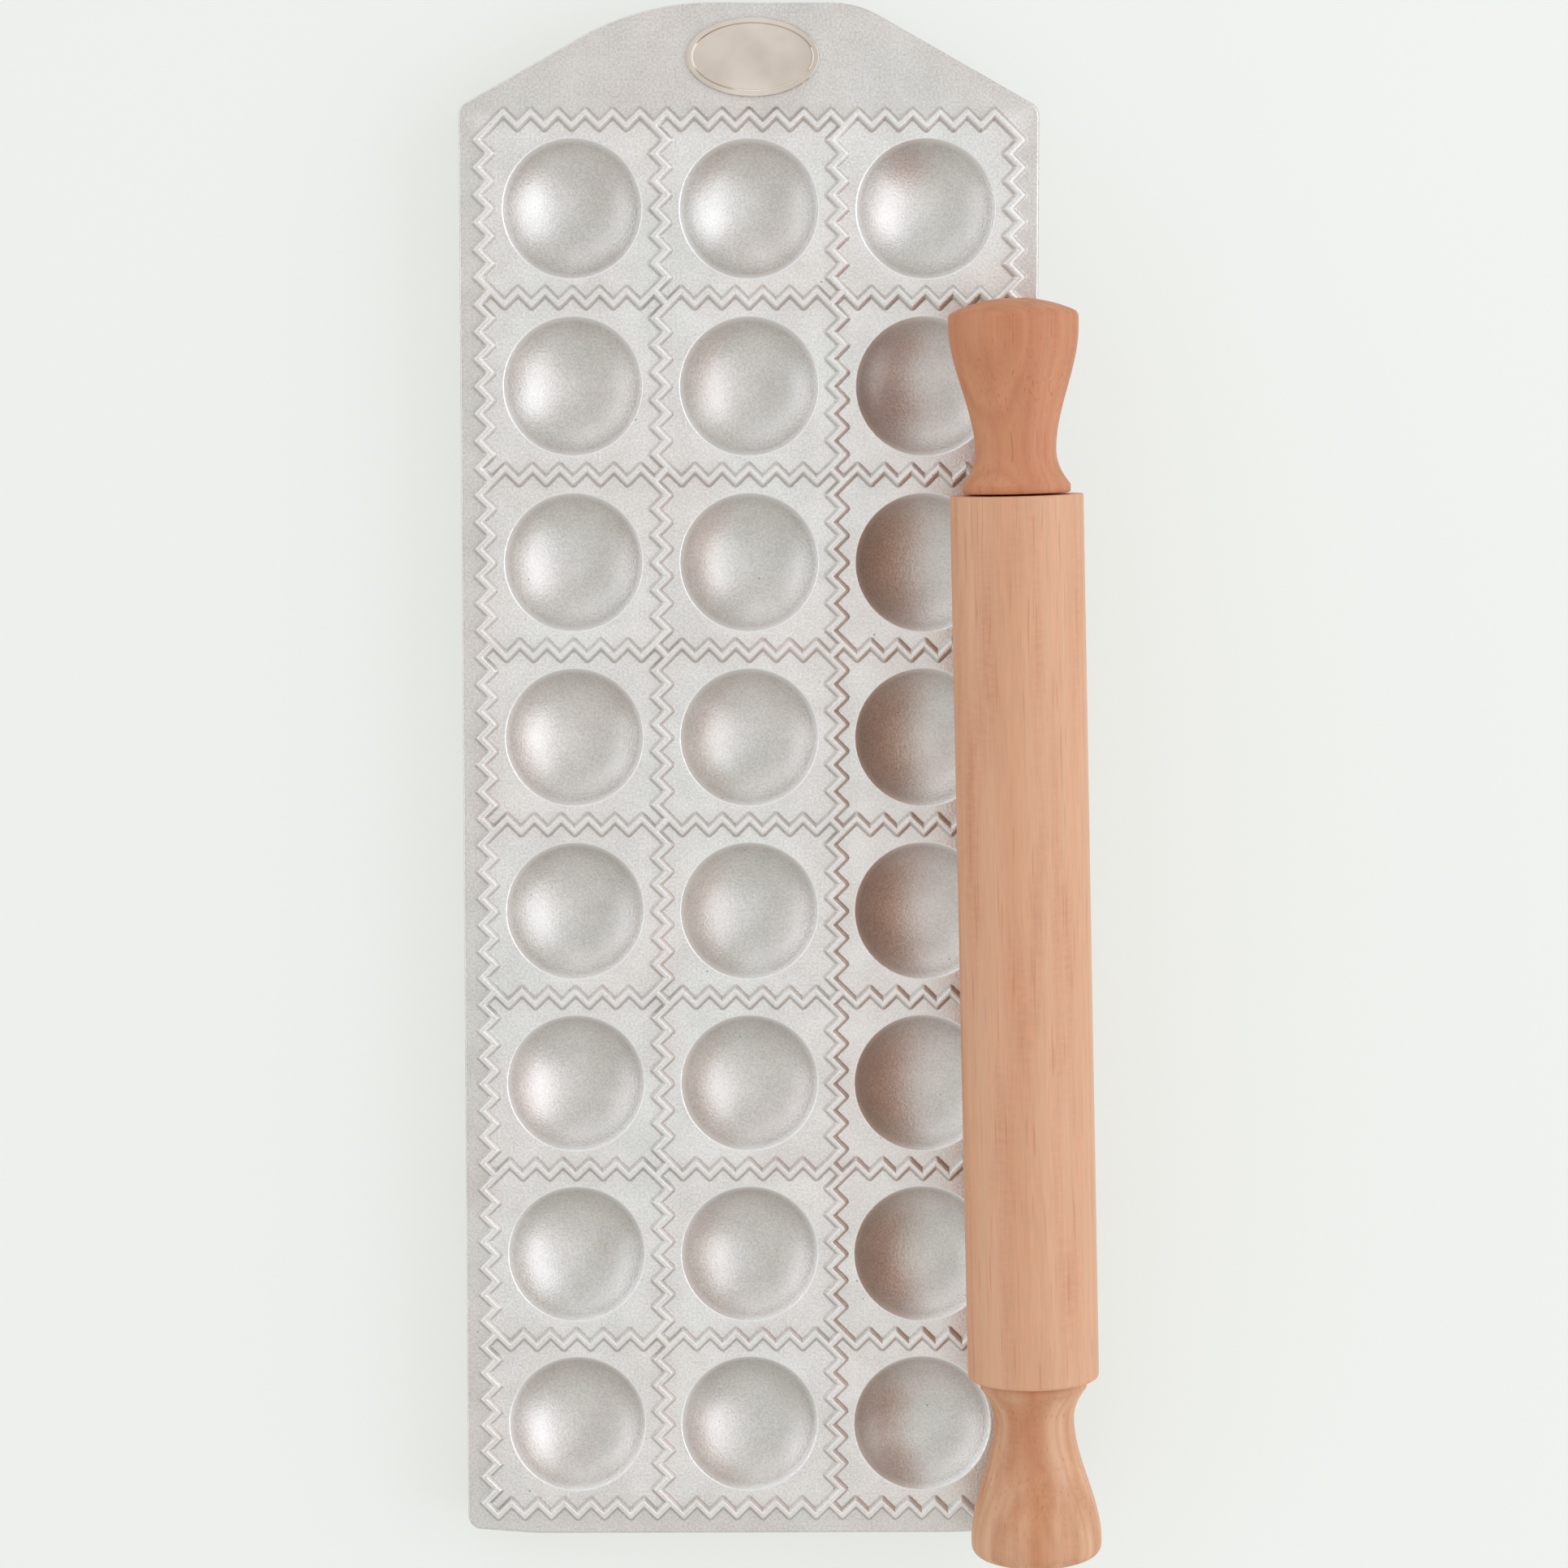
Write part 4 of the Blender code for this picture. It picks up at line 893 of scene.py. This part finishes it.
print("turning the rolling pin")
steelRod = linedMetal("drawn steel rod", steelFinish)
nylon = nylonMaterial("moulded natural nylon", nylonFinish)
barrelWood = beechMaterial("pale turned beech", beechTones["barrel"], beechGrain)
turnPiece("beech_barrel", barrelProfile(barrel, bush["length"]), barrel["steps"], True, barrelWood,
          "barrel", "pin_barrel")
turnPiece("axle_rod", axleProfile(axle), axle["steps"], False, steelRod, "axle", "pin_axle")
bushTop = barrel["half"] - barrel["recessDepth"]
washerShape = tubeProfile(washer, axle["holeRadius"], washer["low"], washer["high"])
bushShape = tubeProfile(bush, axle["holeRadius"], bushTop - bush["length"], bushTop)
for end, flip in (("upper", [1, 1]), ("lower", [1, -1])):
    handleShape = handleProfile(handle, axle["holeRadius"], handle[end + "Cap"], handle[end + "Round"])
    handleShape += [0.0, handle["at"]]
    handleWood = beechMaterial("turned beech " + end + " handle", beechTones[end], beechGrain)
    turnPiece("beech_handle_" + end, handleShape * flip, handle["steps"], True, handleWood,
              "handle_" + end, "pin_handle_" + end)
    turnPiece("washer_" + end, washerShape * flip, washer["steps"], True, steelRod,
              "axle", "thrust_washer_" + end)
    turnPiece("bush_" + end, bushShape * flip, bush["steps"], True, nylon,
              "barrel", "barrel_bush_" + end)


# Floor, light and camera. Lamps lie the way that each one names, at a distance in metres.

studio = {
    "floor": "#F4F6F2", "floorRadius": 4.0, "floorSteps": 96, "fibreSize": 2.0, "fibreRoughness": (0.85, 1.0),
    "floorSeen": "#F1F3EE", "floorGlow": 0.6, "roomSeen": "#E3E4E2",
    "worldColour": "#FBFCFB", "worldLevel": 0.72, "lampColour": "#EBF3FD",
    "lamps": {
        "softbox": {"toward": (0.84, 0.08, 0.54), "distance": 0.8, "size": (1.3, 0.66), "watts": 2.35},
        "right": {"toward": (0.91, 0.04, 0.41), "distance": 3.6, "size": (4.5, 2.34), "watts": 16.2},
        "left": {"toward": (-0.96, 0.16, 0.22), "distance": 3.6, "size": (4.5, 1.0), "watts": 23.5},
        "head": {"toward": (-0.30, 0.92, 0.24), "distance": 3.6, "size": (3.6, 1.44), "watts": 12.4},
        "overhead": {"toward": (0.30, 0.0, 1.0), "distance": 1.5, "size": (1.4, 1.6), "watts": 1.6},
    },
}
view = {
    "place": (-8.700, 88.067, 908.951), "turn": (-5.58, -0.58, 0.008), "focalPixels": 5375.0,
    "framePixels": 1932.0, "sensor": 36.0, "clip": (0.05, 20.0),
}


def buildStudio(s):
    # What the camera and shiny surfaces see of the floor is partly, and of the room wholly, a plain
    # pale tone; everything else is lit by the room's plain level and the lamps.
    around = circle(s["floorSteps"]) * s["floorRadius"]
    mesh = bpy.data.meshes.new("floor")
    mesh.from_pydata(atHeight(around, 0.0).tolist(), [], [list(range(len(around)))])
    floor = bpy.data.objects.new("floor", mesh)
    bpy.context.scene.collection.objects.link(floor)
    card, cardTree, shader = newMaterial("matt pale card")
    where = addNode(cardTree, "ShaderNodeTexCoord", {}, {})["Object"]
    fibre = addNode(cardTree, "ShaderNodeTexNoise", {}, {
        "Vector": where, "Scale": 1 / (s["fibreSize"] * mm), "Detail": 2.0})["Fac"]
    rough = addNode(cardTree, "ShaderNodeMapRange", {}, {
        "Value": fibre, "To Min": s["fibreRoughness"][0], "To Max": s["fibreRoughness"][1]})["Result"]
    cardTree.links.new(rough, shader.inputs["Roughness"])
    shader.inputs["Base Color"].default_value = linear(s["floor"])
    shader.inputs["Specular IOR Level"].default_value = 0.0
    mesh.materials.append(card)
    world = bpy.data.worlds.new("soft room")
    world.use_nodes = True
    room = world.node_tree.nodes["Background"]
    room.inputs["Color"].default_value = linear(s["worldColour"])
    room.inputs["Strength"].default_value = s["worldLevel"]
    bpy.context.scene.world = world
    for tree, kind, end, lit, tone, amount in (
            (cardTree, "Emission", "Material Output", shader.outputs["BSDF"], s["floorSeen"], s["floorGlow"]),
            (world.node_tree, "Background", "World Output", room.outputs["Background"], s["roomSeen"], 1.0)):
        path = addNode(tree, "ShaderNodeLightPath", {}, {})
        shiny = addNode(tree, "ShaderNodeMath", {"operation": "MAXIMUM"}, {
            0: path["Is Glossy Ray"], 1: path["Is Transmission Ray"]})["Value"]
        seen = addNode(tree, "ShaderNodeMath", {"operation": "MAXIMUM"}, {
            0: path["Is Camera Ray"], 1: shiny})["Value"]
        share = addNode(tree, "ShaderNodeMath", {"operation": "MULTIPLY"}, {0: seen, 1: amount})["Value"]
        pale = addNode(tree, "ShaderNode" + kind, {}, {"Color": linear(tone), "Strength": 1.0})[kind]
        both = addNode(tree, "ShaderNodeMixShader", {}, {"Fac": share, 1: lit, 2: pale})["Shader"]
        tree.links.new(both, tree.nodes[end].inputs["Surface"])
    # Neither is sampled as a lamp, so that both show the same in rough and in smooth metal.
    card.cycles.emission_sampling = "NONE"
    world.cycles.sampling_method = "NONE"
    middle = Vector((np.array(cadBox[0]) + np.array(cadBox[1])) / 2)
    for name, lamp in s["lamps"].items():
        toLamp = Vector(lamp["toward"]).normalized()
        light = bpy.data.lights.new(name, "AREA")
        light.shape = "RECTANGLE"
        light.size, light.size_y = lamp["size"]
        light.energy = lamp["watts"]
        light.color = linear(s["lampColour"])[:3]
        holder = bpy.data.objects.new(name, light)
        holder.location = middle + toLamp * lamp["distance"]
        holder.rotation_euler = toLamp.to_track_quat("Z", "Y").to_euler()
        holder.visible_camera = False
        bpy.context.scene.collection.objects.link(holder)


def buildCamera(v):
    # The lens is the photograph's focal length in pixels times the sensor's width per pixel.
    lens = bpy.data.cameras.new("camera")
    lens.sensor_width = v["sensor"]
    lens.lens = v["focalPixels"] * v["sensor"] / v["framePixels"]
    lens.clip_start, lens.clip_end = v["clip"]
    camera = bpy.data.objects.new("camera", lens)
    camera.location = Vector(v["place"]) * mm
    camera.rotation_euler = [math.radians(a) for a in v["turn"]]
    bpy.context.scene.collection.objects.link(camera)
    bpy.context.scene.camera = camera


print("setting floor, light and camera")
buildStudio(studio)
buildCamera(view)
bpy.context.scene.view_settings.view_transform = "Standard"

bpy.context.view_layer.update()
